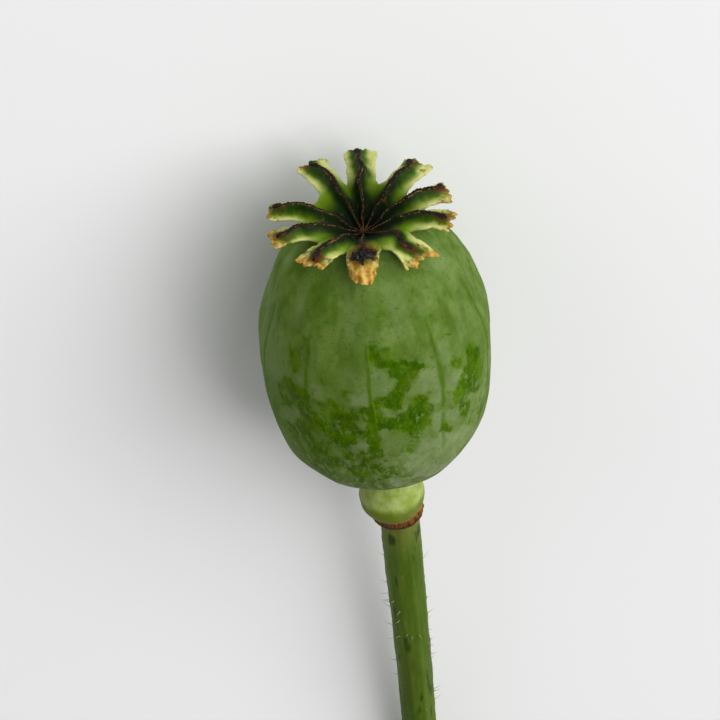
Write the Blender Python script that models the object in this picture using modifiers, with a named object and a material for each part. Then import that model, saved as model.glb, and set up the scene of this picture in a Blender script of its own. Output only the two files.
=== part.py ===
"""Poppy seed head, picked with a length of stem and lying on its side.

The head is described upright first, along its own axis: +Z runs from the stem to the crown, zero is
the widest part of the capsule, and -Y is the side that faces up once the head lies down. An empty
then lays it down, so that it rests on a small flat spot of the capsule and on the cut end of the stem.
The world's origin is the centre of that flat spot, +Z is up and the crown looks towards -Y.
"""

import math
import random
from collections import namedtuple

import bmesh
import bpy
from mathutils import Matrix

MM = 0.001

# Clearance kept between two pieces that touch on the real head.
GAP = 0.3 * MM

WELD = 0.001 * MM
SHARP_ANGLE = math.radians(50)

# Capsule: an egg of revolution, drawn in above and blunt below.
CAPSULE_RADIUS = 20.15 * MM
CAPSULE_TOP = 27.7 * MM
CAPSULE_TOP_POWER = 1.84
CAPSULE_BOTTOM = 30.6 * MM
CAPSULE_BOTTOM_POWER = 3.0
CAPSULE_DISH_RADIUS = 8.2 * MM
CAPSULE_BASE_RADIUS = 4.3 * MM
CAPSULE_RIB_HEIGHT = 0.22 * MM
RIB_SHARE_BELOW = 0.35
RIB_RISE = (-9.0 * MM, 17.0 * MM)
RIB_FADE = (-30.6 * MM, -18.0 * MM)
CAPSULE_SIDES = 60
CAPSULE_RINGS = 30
DISH_SHARE = 4 / CAPSULE_RINGS
BASE_SHARE = 2 / CAPSULE_RINGS

# Crown: ten lobes round a dished centre, each with a keel along its middle.
# The turn is in degrees from the side that faces up. The ray's thickness and the blade's width are
# shares of the usual ones.
Lobe = namedtuple("Lobe", "turn reach tip_lift keel_rise keel_end ray_share width_share")
LOBES = (
    Lobe(-3, 15.0 * MM, -1.1 * MM, 4.2 * MM, 9.4 * MM, 0.6, 0.86),
    Lobe(39, 13.9 * MM, -2.6 * MM, 4.3 * MM, 11.6 * MM, 0.8, 1.05),
    Lobe(74, 15.3 * MM, -0.1 * MM, 5.2 * MM, 14.0 * MM, 1.0, 1.0),
    Lobe(103, 15.2 * MM, 0.0 * MM, 5.6 * MM, 14.2 * MM, 1.0, 0.98),
    Lobe(137, 15.9 * MM, 0.0 * MM, 5.8 * MM, 14.2 * MM, 1.0, 1.0),
    Lobe(176, 16.6 * MM, 0.1 * MM, 6.2 * MM, 14.9 * MM, 1.0, 1.0),
    Lobe(-152, 16.5 * MM, 0.1 * MM, 6.0 * MM, 14.6 * MM, 1.0, 1.0),
    Lobe(-102, 15.6 * MM, 0.0 * MM, 5.8 * MM, 14.4 * MM, 1.0, 0.8),
    Lobe(-73, 15.8 * MM, 0.4 * MM, 5.3 * MM, 14.4 * MM, 1.0, 0.82),
    Lobe(-38, 15.5 * MM, 0.2 * MM, 4.9 * MM, 13.8 * MM, 1.0, 1.0),
)
DISC_CENTRE_Z = 22.4 * MM
DISC_RISE = 4.6 * MM
NOTCH_RADIUS = 8.7 * MM
BLADE_RISE = 0.45 * MM
BLADE_RISE_LENGTH = 4.5 * MM
BLADE_LIFT_POWER = 1.4
BLADE_HALF_WIDTH = 2.2 * MM
BLADE_FLARE = 0.5 * MM
FALL_START = 0.3
FALL_AT_NOTCH = 0.6 * MM
FALL_AT_TIP = 0.35 * MM
BLADE_THICKNESS = 0.7 * MM
DISC_THICKNESS = 0.9 * MM
NOTCH_ROUNDING = 1.6 * MM
# Rows of a lobe as shares of the way to the notches and from there to the tip, and its columns.
ROWS_INSIDE = (0.0, 0.2, 0.42, 0.64, 0.84, 1.0)
ROWS_OUTSIDE = (0.22, 0.45, 0.65, 0.82, 1.0)
COLUMNS = (-1.0, -0.74, -0.46, -0.2, 0.0, 0.2, 0.46, 0.74, 1.0)
SEAM_MERGE = 0.02 * MM
TOOTH_DEPTH = 0.45 * MM
TOOTH_SEED = 5

# Keel: the wall under each stigma ray, and the line along its top.
CREST_CENTRE_Z = 23.3 * MM
CREST_PEAK_RADIUS = 10.0 * MM
CREST_DROP = 0.4 * MM
CREST_DROP_LENGTH = 4.4 * MM
GROOVE_DEPTH = 0.35 * MM
KEEL_HALF_WIDTH = 0.95 * MM
KEEL_START = 0.35
KEEL_END_LENGTH = 1.0 * MM
RAY_RADIUS_INSIDE = 0.3 * MM
RAY_RADIUS_OUTSIDE = 0.5 * MM
RAY_POINTS = 12
RAY_BEVEL_RESOLUTION = 2
RAY_HUB_RADIUS = 0.8 * MM
RAY_HUB_SIDES = 20
RAY_HUB_RINGS = 8

# Receptacle, the swollen end of the stalk under the capsule: radius and height, from the top down.
RECEPTACLE_PROFILE = (
    (0.0, -30.5 * MM),
    (2.3 * MM, -30.5 * MM),
    (4.0 * MM, -30.55 * MM),
    (4.3 * MM, -31.2 * MM),
    (4.35 * MM, -32.6 * MM),
    (4.65 * MM, -34.0 * MM),
    (5.15 * MM, -35.6 * MM),
    (5.65 * MM, -37.2 * MM),
    (6.0 * MM, -38.8 * MM),
    (6.1 * MM, -40.2 * MM),
    (5.95 * MM, -41.3 * MM),
    (5.6 * MM, -42.2 * MM),
    (5.0 * MM, -42.7 * MM),
    (2.5 * MM, -42.7 * MM),
    (0.0, -42.7 * MM),
)
RECEPTACLE_SIDES = 40

# Scar left by petals and sepals, a low rim round the top of the stem: radius and height about its centre.
RING_Z = -43.8 * MM
RING_PROFILE = (
    (4.3 * MM, 0.7 * MM),
    (5.2 * MM, 0.8 * MM),
    (5.6 * MM, 0.5 * MM),
    (5.5 * MM, 0.0),
    (5.1 * MM, -0.6 * MM),
    (4.5 * MM, -0.8 * MM),
    (4.3 * MM, -0.5 * MM),
)
RING_SHIFT = 0.6 * MM
RING_TILT = math.radians(-1.0)
RING_SIDES = 48

# Stem: nearly straight, a little wider under the scar, with its cut end on the surface.
STEM_TOP_RADIUS = 3.7 * MM
STEM_RADIUS = 3.45 * MM
STEM_TAPER_LENGTH = 50.0 * MM
STEM_TOP_Z = -43.2 * MM
STEM_END_Z = -131.0 * MM
STEM_TOP_SHIFT = 0.9 * MM
STEM_BEND = 0.8 * MM
STEM_POINTS = 26
STEM_BEVEL_RESOLUTION = 4

# How the head lies.
REST_TILT = math.radians(7.4)
FLAT_SPOT_DEPTH = 0.2 * MM
SEARCH_STEPS = 400

# Colours are linear, as the shader takes them.
CAPSULE_GREEN = (0.115, 0.19, 0.045)
CROWN_GREEN = (0.22, 0.30, 0.05)
RAY_BROWN = (0.022, 0.008, 0.006)
RECEPTACLE_GREEN = (0.26, 0.33, 0.07)
SCAR_BROWN = (0.12, 0.05, 0.012)
STEM_GREEN = (0.09, 0.14, 0.022)
SKIN_ROUGHNESS = 0.5
RAY_ROUGHNESS = 0.7
SCAR_ROUGHNESS = 0.75


def smooth_step(low, high, value):
    """0 below low, 1 above high, and a smooth rise between them."""
    share = min(max((value - low) / (high - low), 0.0), 1.0)
    return share * share * (3 - 2 * share)


def clear_scene():
    for old in list(bpy.data.objects):
        bpy.data.objects.remove(old, do_unlink=True)


def new_collection(name):
    made = bpy.data.collections.new(name)
    bpy.context.scene.collection.children.link(made)
    return made


def new_material(name, colour, roughness):
    made = bpy.data.materials.new(name)
    made.use_nodes = True
    shader = made.node_tree.nodes["Principled BSDF"]
    shader.inputs["Base Color"].default_value = (*colour, 1.0)
    shader.inputs["Roughness"].default_value = roughness
    shader.inputs["Metallic"].default_value = 0.0
    made.diffuse_color = (*colour, 1.0)
    return made


def object_from_bmesh(name, bm, material, collection, parent):
    """A smooth mesh object with one material, placed by its parent."""
    bmesh.ops.recalc_face_normals(bm, faces=bm.faces)
    mesh = bpy.data.meshes.new(name)
    bm.to_mesh(mesh)
    bm.free()
    mesh.materials.append(material)
    mesh.shade_smooth()
    mesh.set_sharp_from_angle(angle=SHARP_ANGLE)
    made = bpy.data.objects.new(name, mesh)
    collection.objects.link(made)
    made.parent = parent
    return made


def mesh_from_curve(name, curve_object, material, collection, parent):
    """The curve as a mesh with its caps welded on. The curve is removed."""
    bpy.context.view_layer.update()
    graph = bpy.context.evaluated_depsgraph_get()
    mesh = bpy.data.meshes.new_from_object(curve_object.evaluated_get(graph))
    bpy.data.objects.remove(curve_object, do_unlink=True)
    bm = bmesh.new()
    bm.from_mesh(mesh)
    bmesh.ops.remove_doubles(bm, verts=bm.verts, dist=WELD)
    bpy.data.meshes.remove(mesh)
    return object_from_bmesh(name, bm, material, collection, parent)


def sorted_turns():
    """The turns of the lobes in radians, in order round the axis."""
    return sorted(math.radians(lobe.turn) % math.tau for lobe in LOBES)


def lobe_phase(turn):
    """Where a direction lies among the lobes: whole at each lobe, a half between two."""
    turns = sorted_turns()
    turn = turn % math.tau
    before = [t for t in turns if t <= turn] or [turns[-1] - math.tau]
    after = [t for t in turns if t > turn] or [turns[0] + math.tau]
    return len(before) + (turn - before[-1]) / (after[0] - before[-1])


def turn_of(x, y):
    """Direction round the axis in radians, from -Y towards +X."""
    return math.atan2(x, -y)


def half_angles(turn):
    """Half of the angles from a lobe to its neighbours, on its low and its high side."""
    turns = sorted_turns()
    place = min(range(len(turns)), key=lambda i: abs(turns[i] - turn % math.tau))
    here = turns[place]
    low = (here - turns[place - 1]) % math.tau
    high = (turns[(place + 1) % len(turns)] - here) % math.tau
    return low / 2, high / 2


def dished(share):
    """0 at the centre and 1 at a share of 1: a bowl that opens slowly, then levels off."""
    share = min(share, 1.0)
    return share * (0.75 + 1.5 * share - 1.25 * share * share)


def blade_share(radius, lobe):
    """0 as far as the notches, 1 at the lobe's tip."""
    return max(radius - NOTCH_RADIUS, 0.0) / (lobe.reach - NOTCH_RADIUS)


def disc_z(radius, lobe):
    """Height of the disc along the middle of a lobe, without its keel."""
    outer = smooth_step(NOTCH_RADIUS, NOTCH_RADIUS + BLADE_RISE_LENGTH, radius)
    lift = lobe.tip_lift * blade_share(radius, lobe) ** BLADE_LIFT_POWER
    return DISC_CENTRE_Z + DISC_RISE * dished(radius / NOTCH_RADIUS) + BLADE_RISE * outer + lift


def disc_fall(radius, lobe):
    """How far the surface falls from the middle of a lobe to its edge."""
    inside = smooth_step(FALL_START * NOTCH_RADIUS, NOTCH_RADIUS, radius)
    return inside * (FALL_AT_NOTCH + (FALL_AT_TIP - FALL_AT_NOTCH) * blade_share(radius, lobe))


def disc_underside_z(radius, lobe):
    share = smooth_step(0.0, NOTCH_RADIUS, radius)
    thickness = DISC_THICKNESS + (BLADE_THICKNESS - DISC_THICKNESS) * share
    return disc_z(radius, lobe) - disc_fall(radius, lobe) - thickness


def ray_radius(radius, lobe):
    share = smooth_step(0.0, CREST_PEAK_RADIUS, radius)
    outside = RAY_RADIUS_OUTSIDE * lobe.ray_share
    return RAY_RADIUS_INSIDE + (outside - RAY_RADIUS_INSIDE) * share


def crest_z(radius, lobe):
    """Height of the top of a stigma ray: a curved rise, a slow fall, and never down into the disc."""
    past = max(radius - CREST_PEAK_RADIUS, 0.0) / CREST_DROP_LENGTH
    lift = lobe.tip_lift * blade_share(radius, lobe) ** BLADE_LIFT_POWER
    rise = lobe.keel_rise * dished(radius / CREST_PEAK_RADIUS)
    lowest = disc_z(radius, lobe) - GROOVE_DEPTH + GAP + 2 * ray_radius(radius, lobe)
    return max(CREST_CENTRE_Z + rise - CREST_DROP * past * past + lift, lowest)


def keel_share(radius, sideways, across):
    """1 on top of a keel, falling off to its sides, and 0 at the lobe's edges."""
    narrow = KEEL_HALF_WIDTH * min(1.0, KEEL_START + (1 - KEEL_START) * radius / NOTCH_RADIUS)
    return (1 - across**6) / (1 + (sideways / narrow) ** 4)


def capsule_profile(share):
    """(radius, height) of the capsule's outline, from the dish at 0 to the base at 1.

    The side has radius R cos(a) and height H times sin(a) to the power 2 / n. H and n differ above
    and below the widest part.
    """
    top_angle = math.acos(CAPSULE_DISH_RADIUS / CAPSULE_RADIUS)
    base_angle = -math.acos(CAPSULE_BASE_RADIUS / CAPSULE_RADIUS)
    side_share = (share - DISH_SHARE) / (1 - DISH_SHARE - BASE_SHARE)
    side_share = min(max(side_share, 0.0), 1.0)
    angle = top_angle + (base_angle - top_angle) * side_share
    reach = abs(math.sin(angle))
    if angle >= 0:
        height = CAPSULE_TOP * reach ** (2 / CAPSULE_TOP_POWER)
    else:
        height = -CAPSULE_BOTTOM * reach ** (2 / CAPSULE_BOTTOM_POWER)
    radius = CAPSULE_RADIUS * math.cos(angle)
    if share < DISH_SHARE:
        radius = CAPSULE_DISH_RADIUS * share / DISH_SHARE
        height = min(height, disc_underside_z(radius, LOBES[0]) - GAP)
    if share > 1 - BASE_SHARE:
        radius = CAPSULE_BASE_RADIUS * (1 - share) / BASE_SHARE
    return radius, height


def capsule_rib(turn, height):
    """Swelling of the capsule under each lobe, strongest towards the crown, none at the base."""
    share = RIB_SHARE_BELOW + (1 - RIB_SHARE_BELOW) * smooth_step(*RIB_RISE, height)
    share *= smooth_step(*RIB_FADE, height)
    return CAPSULE_RIB_HEIGHT * share * math.cos(math.tau * lobe_phase(turn))


def lowest_point():
    """(height along the axis, radius, world drop) of the capsule's lowest point once it lies tilted."""
    found = []
    for step in range(SEARCH_STEPS):
        radius, height = capsule_profile(DISH_SHARE + (1 - DISH_SHARE) * step / SEARCH_STEPS)
        radius += capsule_rib(math.pi, height)
        drop = height * math.sin(REST_TILT) - radius * math.cos(REST_TILT)
        found.append((drop, height, radius))
    drop, height, radius = min(found)
    return height, radius, drop


def lay_down(collection):
    """The empty that carries the whole head, laid down on its flat spot."""
    height, radius, drop = lowest_point()
    holder = bpy.data.objects.new("poppy_head_axis", None)
    collection.objects.link(holder)
    holder.rotation_euler = (REST_TILT - math.pi / 2, 0.0, math.pi)
    holder.location = (
        0.0,
        height * math.cos(REST_TILT) + radius * math.sin(REST_TILT),
        -drop - FLAT_SPOT_DEPTH,
    )
    return holder


def make_capsule(collection, cutters, holder):
    """A sphere whose rings follow the capsule's outline, with ribs, cut flat where it rests."""
    bm = bmesh.new()
    bmesh.ops.create_uvsphere(bm, u_segments=CAPSULE_SIDES, v_segments=CAPSULE_RINGS, radius=1.0)
    for vert in bm.verts:
        share = math.acos(min(max(vert.co.z, -1.0), 1.0)) / math.pi
        turn = turn_of(vert.co.x, vert.co.y)
        radius, height = capsule_profile(share)
        if radius > 0:
            radius += capsule_rib(turn, height) * smooth_step(0.0, CAPSULE_DISH_RADIUS, radius)
        vert.co = (radius * math.sin(turn), -radius * math.cos(turn), height)
    skin = new_material("capsule_skin", CAPSULE_GREEN, SKIN_ROUGHNESS)
    capsule = object_from_bmesh("capsule", bm, skin, collection, holder)

    side = 4 * CAPSULE_RADIUS
    bpy.ops.mesh.primitive_cube_add(size=side, location=(0.0, 0.0, -side / 2))
    surface = bpy.context.active_object
    surface.name = "surface_cutter"
    for owner in list(surface.users_collection):
        owner.objects.unlink(surface)
    cutters.objects.link(surface)
    surface.hide_render = True
    surface.display_type = "WIRE"
    cut = capsule.modifiers.new("flat_spot", "BOOLEAN")
    cut.operation = "DIFFERENCE"
    cut.solver = "EXACT"
    cut.object = surface
    return capsule


def lobe_point(lobe, radius, across, tooth):
    """(x, y, distance from the lobe's middle line) of a point of a lobe.

    across runs from -1 to 1 between the lobe's edges. Inside the notches the lobe is a sector of the
    disc, and past them a blade that flares a little towards its tip.
    """
    turn = math.radians(lobe.turn)
    low, high = half_angles(turn)
    half = low if across < 0 else high
    inside = min(radius, NOTCH_RADIUS)
    along = inside * math.cos(across * half)
    sideways = inside * math.sin(across * half)
    if radius > NOTCH_RADIUS:
        share = blade_share(radius, lobe)
        blend = smooth_step(0.0, NOTCH_ROUNDING, radius - NOTCH_RADIUS)
        start = NOTCH_RADIUS * math.sin(half)
        width = lobe.width_share * (BLADE_HALF_WIDTH + BLADE_FLARE * share * share)
        sideways = across * (start + (width - start) * blend)
        along += (radius - NOTCH_RADIUS) + (inside - along) * share + tooth
    x = along * math.sin(turn) + sideways * math.cos(turn)
    y = -along * math.cos(turn) + sideways * math.sin(turn)
    return x, y, sideways


def lobe_height(lobe, radius, across, sideways):
    """Height of the top of a lobe: its blade, and the keel that carries the stigma ray."""
    blade = disc_z(radius, lobe) - disc_fall(radius, lobe) * across * across
    keel_top = crest_z(radius, lobe) - 2 * ray_radius(radius, lobe) - GAP
    end = 1 - smooth_step(lobe.keel_end, lobe.keel_end + KEEL_END_LENGTH, radius)
    return blade + (keel_top - blade) * keel_share(radius, sideways, across) * end


def tooth_lengths(chance):
    """How far each column of a lobe reaches past its tip: long and short teeth by turns."""
    longer = [TOOTH_DEPTH * chance.uniform(0.2, 1.0) for _ in COLUMNS]
    shorter = [-TOOTH_DEPTH * chance.random() for _ in COLUMNS]
    return [longer[i] if i % 2 else shorter[i] for i in range(len(COLUMNS))]


def make_crown(collection, holder):
    """Ten lobe grids merged along their seams inside the notches, then given a thickness."""
    chance = random.Random(TOOTH_SEED)
    bm = bmesh.new()
    under = bm.verts.layers.float.new("underside")
    last_row = len(ROWS_INSIDE) + len(ROWS_OUTSIDE) - 1
    last_column = len(COLUMNS) - 1
    for lobe in LOBES:
        radii = [NOTCH_RADIUS * share for share in ROWS_INSIDE]
        radii += [NOTCH_RADIUS + (lobe.reach - NOTCH_RADIUS) * share for share in ROWS_OUTSIDE]
        teeth = tooth_lengths(chance)
        grid = bmesh.ops.create_grid(bm, x_segments=last_column, y_segments=last_row, size=1.0)
        for vert in grid["verts"]:
            column = round((vert.co.x + 1) / 2 * last_column)
            row = round((vert.co.y + 1) / 2 * last_row)
            tooth = teeth[column] if row == last_row else 0.0
            across = COLUMNS[column]
            radius = radii[row]
            x, y, sideways = lobe_point(lobe, radius, across, tooth)
            vert.co = (x, y, lobe_height(lobe, radius, across, sideways))
            vert[under] = disc_underside_z(radius, lobe)
    bmesh.ops.remove_doubles(bm, verts=bm.verts, dist=SEAM_MERGE)
    made = bmesh.ops.extrude_face_region(bm, geom=bm.faces, use_keep_orig=True)
    for vert in made["geom"]:
        if isinstance(vert, bmesh.types.BMVert):
            vert.co.z = vert[under]
    skin = new_material("crown_skin", CROWN_GREEN, SKIN_ROUGHNESS)
    return object_from_bmesh("crown", bm, skin, collection, holder)


def make_ray_tube(number, lobe, tissue, collection, holder):
    """A tapered tube along the top of one keel, from the centre to the keel's end."""
    turn = math.radians(lobe.turn)
    data = bpy.data.curves.new(f"ray_line_{number}", "CURVE")
    data.dimensions = "3D"
    data.bevel_depth = 1.0
    data.bevel_resolution = RAY_BEVEL_RESOLUTION
    data.use_fill_caps = True
    line = data.splines.new("POLY")
    line.points.add(RAY_POINTS - 1)
    for step, point in enumerate(line.points):
        radius = lobe.keel_end * step / (RAY_POINTS - 1)
        thick = ray_radius(radius, lobe)
        height = crest_z(radius, lobe) - thick
        point.co = (radius * math.sin(turn), -radius * math.cos(turn), height, 1.0)
        point.radius = thick
    tube = bpy.data.objects.new(f"ray_line_{number}", data)
    collection.objects.link(tube)
    return mesh_from_curve(f"ray_{number}", tube, tissue, collection, holder)


def make_stigma_rays(collection, holder):
    """Ten tubes along the keels, fused to a flat hub at the centre."""
    tissue = new_material("stigma_tissue", RAY_BROWN, RAY_ROUGHNESS)
    repeats = new_collection("stigma_repeats")
    for number, lobe in enumerate(LOBES):
        make_ray_tube(number, lobe, tissue, repeats, holder)

    bm = bmesh.new()
    squash = Matrix.Diagonal((1.0, 1.0, RAY_RADIUS_INSIDE / RAY_HUB_RADIUS, 1.0))
    place = Matrix.Translation((0.0, 0.0, CREST_CENTRE_Z - RAY_RADIUS_INSIDE)) @ squash
    bmesh.ops.create_uvsphere(
        bm,
        u_segments=RAY_HUB_SIDES,
        v_segments=RAY_HUB_RINGS,
        radius=RAY_HUB_RADIUS,
        matrix=place,
    )
    rays = object_from_bmesh("stigma_rays", bm, tissue, collection, holder)
    join = rays.modifiers.new("join_rays", "BOOLEAN")
    join.operation = "UNION"
    join.solver = "EXACT"
    join.operand_type = "COLLECTION"
    join.collection = repeats
    bpy.context.view_layer.update()
    graph = bpy.context.evaluated_depsgraph_get()
    rays_joined = bpy.data.meshes.new_from_object(rays.evaluated_get(graph))
    rays.modifiers.clear()
    rays.data = rays_joined
    for repeat in list(repeats.objects):
        bpy.data.objects.remove(repeat, do_unlink=True)
    bpy.data.collections.remove(repeats)
    return rays


def turned_object(name, profile, closed, sides, material, collection, parent):
    """A profile of (radius, height) turned once round its own Z axis."""
    count = len(profile)
    edges = [(i, i + 1) for i in range(count - 1)]
    if closed:
        edges.append((count - 1, 0))
    mesh = bpy.data.meshes.new(name)
    mesh.from_pydata([(radius, 0.0, height) for radius, height in profile], edges, [])
    mesh.materials.append(material)
    made = bpy.data.objects.new(name, mesh)
    collection.objects.link(made)
    made.parent = parent
    turn = made.modifiers.new("turn", "SCREW")
    turn.axis = "Z"
    turn.angle = math.tau
    turn.steps = sides
    turn.render_steps = sides
    turn.use_merge_vertices = True
    turn.merge_threshold = WELD
    turn.use_smooth_shade = True
    return made


def make_receptacle(collection, holder):
    skin = new_material("receptacle_skin", RECEPTACLE_GREEN, SKIN_ROUGHNESS)
    return turned_object(
        "receptacle", RECEPTACLE_PROFILE, False, RECEPTACLE_SIDES, skin, collection, holder
    )


def make_scar_ring(collection, holder):
    """The rim, set a little off the axis and askew."""
    skin = new_material("scar_tissue", SCAR_BROWN, SCAR_ROUGHNESS)
    ring = turned_object("scar_ring", RING_PROFILE, True, RING_SIDES, skin, collection, holder)
    ring.location = (RING_SHIFT, 0.0, RING_Z)
    ring.rotation_euler = (0.0, RING_TILT, 0.0)
    return ring


def stem_radius(height):
    share = smooth_step(0.0, STEM_TAPER_LENGTH, STEM_TOP_Z - height)
    return STEM_TOP_RADIUS + (STEM_RADIUS - STEM_TOP_RADIUS) * share


def make_stem(collection, holder):
    """A tube with a flat cut end, bent a little so that the end's lower edge meets the surface."""
    end_level = holder.location.z + STEM_END_Z * math.sin(REST_TILT)
    end_drop = end_level / math.cos(REST_TILT) - STEM_RADIUS
    data = bpy.data.curves.new("stem_line", "CURVE")
    data.dimensions = "3D"
    data.bevel_depth = 1.0
    data.bevel_resolution = STEM_BEVEL_RESOLUTION
    data.use_fill_caps = True
    line = data.splines.new("POLY")
    line.points.add(STEM_POINTS - 1)
    for step, point in enumerate(line.points):
        share = step / (STEM_POINTS - 1)
        height = STEM_TOP_Z + (STEM_END_Z - STEM_TOP_Z) * share
        x = STEM_TOP_SHIFT - STEM_BEND * share * share
        point.co = (x, end_drop * share * share, height, 1.0)
        point.radius = stem_radius(height)
    tube = bpy.data.objects.new("stem_line", data)
    collection.objects.link(tube)
    skin = new_material("stem_skin", STEM_GREEN, SKIN_ROUGHNESS)
    return mesh_from_curve("stem", tube, skin, collection, holder)


def main():
    clear_scene()
    head = new_collection("poppy_seed_head")
    cutters = new_collection("cutters")
    holder = lay_down(head)
    make_capsule(head, cutters, holder)
    make_crown(head, holder)
    make_stigma_rays(head, holder)
    make_receptacle(head, holder)
    make_scar_ring(head, holder)
    make_stem(head, holder)


main()
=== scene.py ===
"""Looks of the poppy seed head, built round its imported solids.

The head is worked out upright in its own frame, in metres: +Z runs from the stem to the crown, zero is
the widest part of the capsule, and -Y is the side that faces up once the head lies down. lay() then
turns the points into the frame's world, where the head rests on the floor.
"""

import math
from collections import namedtuple

import bmesh
import bpy
import numpy as np
from mathutils import Euler, Matrix, Vector


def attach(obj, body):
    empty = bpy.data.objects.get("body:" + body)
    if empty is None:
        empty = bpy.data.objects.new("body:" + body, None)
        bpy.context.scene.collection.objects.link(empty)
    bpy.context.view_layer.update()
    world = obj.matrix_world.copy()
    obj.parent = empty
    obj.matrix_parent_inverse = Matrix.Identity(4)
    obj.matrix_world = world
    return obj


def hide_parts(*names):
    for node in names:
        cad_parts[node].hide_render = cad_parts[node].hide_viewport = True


TAU = math.tau
MM = 0.001

# Left between the solids of neighbouring pieces.
PIECE_GAP = 0.3 * MM

# How the head lies: the turn and the shift from its own frame to the world.
REST_TILT = math.radians(7.4)
REST_SHIFT = (0.0, -8.235 * MM, 20.783 * MM)
REST_TURN = Euler((REST_TILT - math.pi / 2, 0, math.pi))
HEAD_PLACE = Matrix.Translation(REST_SHIFT) @ REST_TURN.to_matrix().to_4x4()

# Capsule.
CAPSULE_RADIUS = 20.15 * MM
CAPSULE_TOP = 27.7 * MM
CAPSULE_TOP_POWER = 1.84
CAPSULE_BOTTOM = 30.6 * MM
CAPSULE_BOTTOM_POWER = 3.0
CAPSULE_DISH_RADIUS = 8.2 * MM
CAPSULE_BASE_RADIUS = 4.3 * MM
RIB_HEIGHT = 0.26 * MM
RIB_SHARE_BELOW = 0.35
VEIN_HEIGHT = 0.03 * MM
VEIN_NARROWNESS = 7.875

# Where the capsule is fuller or leaner than its outline: turn and height of the middle, half width in
# degrees, half height in millimetres, and amount.
CAPSULE_BULGES = (
    (-72, -23, 34, 6, 0.9 * MM),
    (-92, 12, 30, 6, -0.9 * MM),
    (92, 5, 26, 4, 0.45 * MM),
)

# Crown. Per lobe: its turn in degrees from the side that faces up, its reach, how far its tip is lifted,
# the rise and end of its keel, the ray's thickness and the blade's width as shares of the usual, how far
# the ray's end hooks sideways, how dry its tip is, a tooth that stands out, as its place across the tip
# and its length, and how far the corners of the tip are cut back.
Lobe = namedtuple(
    "Lobe",
    "turn reach tip_lift keel_rise keel_end ray width hook dry tooth_at tooth corners",
    defaults=(0.55 * MM,),
)
LOBES = (
    Lobe(-3, 15.6 * MM, -2.0 * MM, 4.2 * MM, 9.2 * MM, 0.7, 1.16, 0.0, 1.0, 0.15, 0.9 * MM, 2.2 * MM),
    Lobe(39, 13.9 * MM, -2.6 * MM, 4.3 * MM, 11.6 * MM, 1.0, 1.05, 0.3 * MM, 0.58, 0.92, 1.5 * MM),
    Lobe(74, 15.3 * MM, -0.1 * MM, 5.2 * MM, 14.0 * MM, 1.0, 1.0, 0.1 * MM, 0.54, 0.3, 0.5 * MM),
    Lobe(103, 15.2 * MM, 0.0, 5.6 * MM, 14.2 * MM, 1.05, 0.98, 0.35 * MM, 0.6, -0.6, 0.3 * MM),
    Lobe(137, 15.9 * MM, 0.0, 5.8 * MM, 14.2 * MM, 1.0, 1.0, 0.6 * MM, 0.44, -0.75, 0.7 * MM),
    Lobe(176, 16.6 * MM, 0.1 * MM, 6.2 * MM, 14.9 * MM, 0.85, 1.0, 0.7 * MM, 0.2, 0.8, 0.2 * MM),
    Lobe(-152, 16.5 * MM, 0.1 * MM, 6.0 * MM, 14.6 * MM, 0.9, 1.0, 0.3 * MM, 0.38, 0.75, 0.5 * MM),
    Lobe(-102, 15.6 * MM, 0.0, 5.8 * MM, 14.4 * MM, 0.8, 0.82, 0.1 * MM, 0.52, 0.7, 0.3 * MM),
    Lobe(-73, 15.8 * MM, 0.4 * MM, 5.3 * MM, 14.4 * MM, 0.95, 0.84, 0.1 * MM, 0.6, -0.2, 0.5 * MM),
    Lobe(-38, 15.5 * MM, 0.2 * MM, 4.9 * MM, 13.8 * MM, 1.05, 1.0, 0.0, 0.72, -0.9, 0.9 * MM),
)
DISC_CENTRE_Z = 22.4 * MM
DISC_RISE = 4.6 * MM
DISC_THICKNESS = 0.9 * MM
NOTCH_RADIUS = 8.7 * MM
NOTCH_ROUNDING = 1.6 * MM
BLADE_RISE = 0.45 * MM
BLADE_RISE_LENGTH = 4.5 * MM
BLADE_LIFT_POWER = 1.4
BLADE_HALF_WIDTH = 2.25 * MM
BLADE_FLARE = 0.82 * MM
BLADE_THICKNESS = 0.66 * MM
RIM_BULGE = 0.14 * MM
CREST_CENTRE_Z = 23.3 * MM
CREST_PEAK_RADIUS = 10.0 * MM
CREST_DROP = 0.4 * MM
CREST_DROP_LENGTH = 4.4 * MM
KEEL_HALF_WIDTH = 0.8 * MM
KEEL_START = 0.35
KEEL_END_LENGTH = 0.8 * MM
RAY_RADIUS_INSIDE = 0.13 * MM
RAY_RADIUS_OUTSIDE = 0.35 * MM
RAY_SIDES = 22
CLOT_AT = 10.3 * MM

# Receptacle and scar ring: radius and height of their outlines.
RECEPTACLE_PROFILE = np.array((
    (0.0, -29.9), (2.3, -29.9), (4.15, -30.0), (4.3, -31.2), (4.35, -32.6),
    (4.65, -34.0), (5.15, -35.6), (5.65, -37.2), (6.0, -38.8), (6.1, -40.2),
    (5.85, -41.3), (5.4, -42.2), (4.8, -42.9), (2.5, -43.0), (0.0, -43.0),
)) * MM
RING_Z = -43.8 * MM
RING_PROFILE = np.array((
    (3.95, 0.8), (4.35, 1.3), (4.65, 1.2), (4.82, 0.75), (4.85, 0.1),
    (4.76, -0.6), (4.5, -1.1), (4.1, -1.2), (3.75, -0.8), (3.7, 0.1),
)) * MM
RING_SHIFT = 0.6 * MM
RING_TILT = math.radians(-1.0)

# Stem.
STEM_TOP_RADIUS = 3.7 * MM
STEM_RADIUS = 3.45 * MM
STEM_TAPER_LENGTH = 50.0 * MM
STEM_TOP_Z = -43.2 * MM
STEM_END_Z = -131.0 * MM
STEM_TOP_SHIFT = 0.9 * MM
STEM_BEND = 0.8 * MM
STEM_SIDES = 96
BRISTLES = 95
BRISTLE_RADIUS = 0.08 * MM
BRISTLE_FLOOR_GAP = 0.2 * MM

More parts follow.
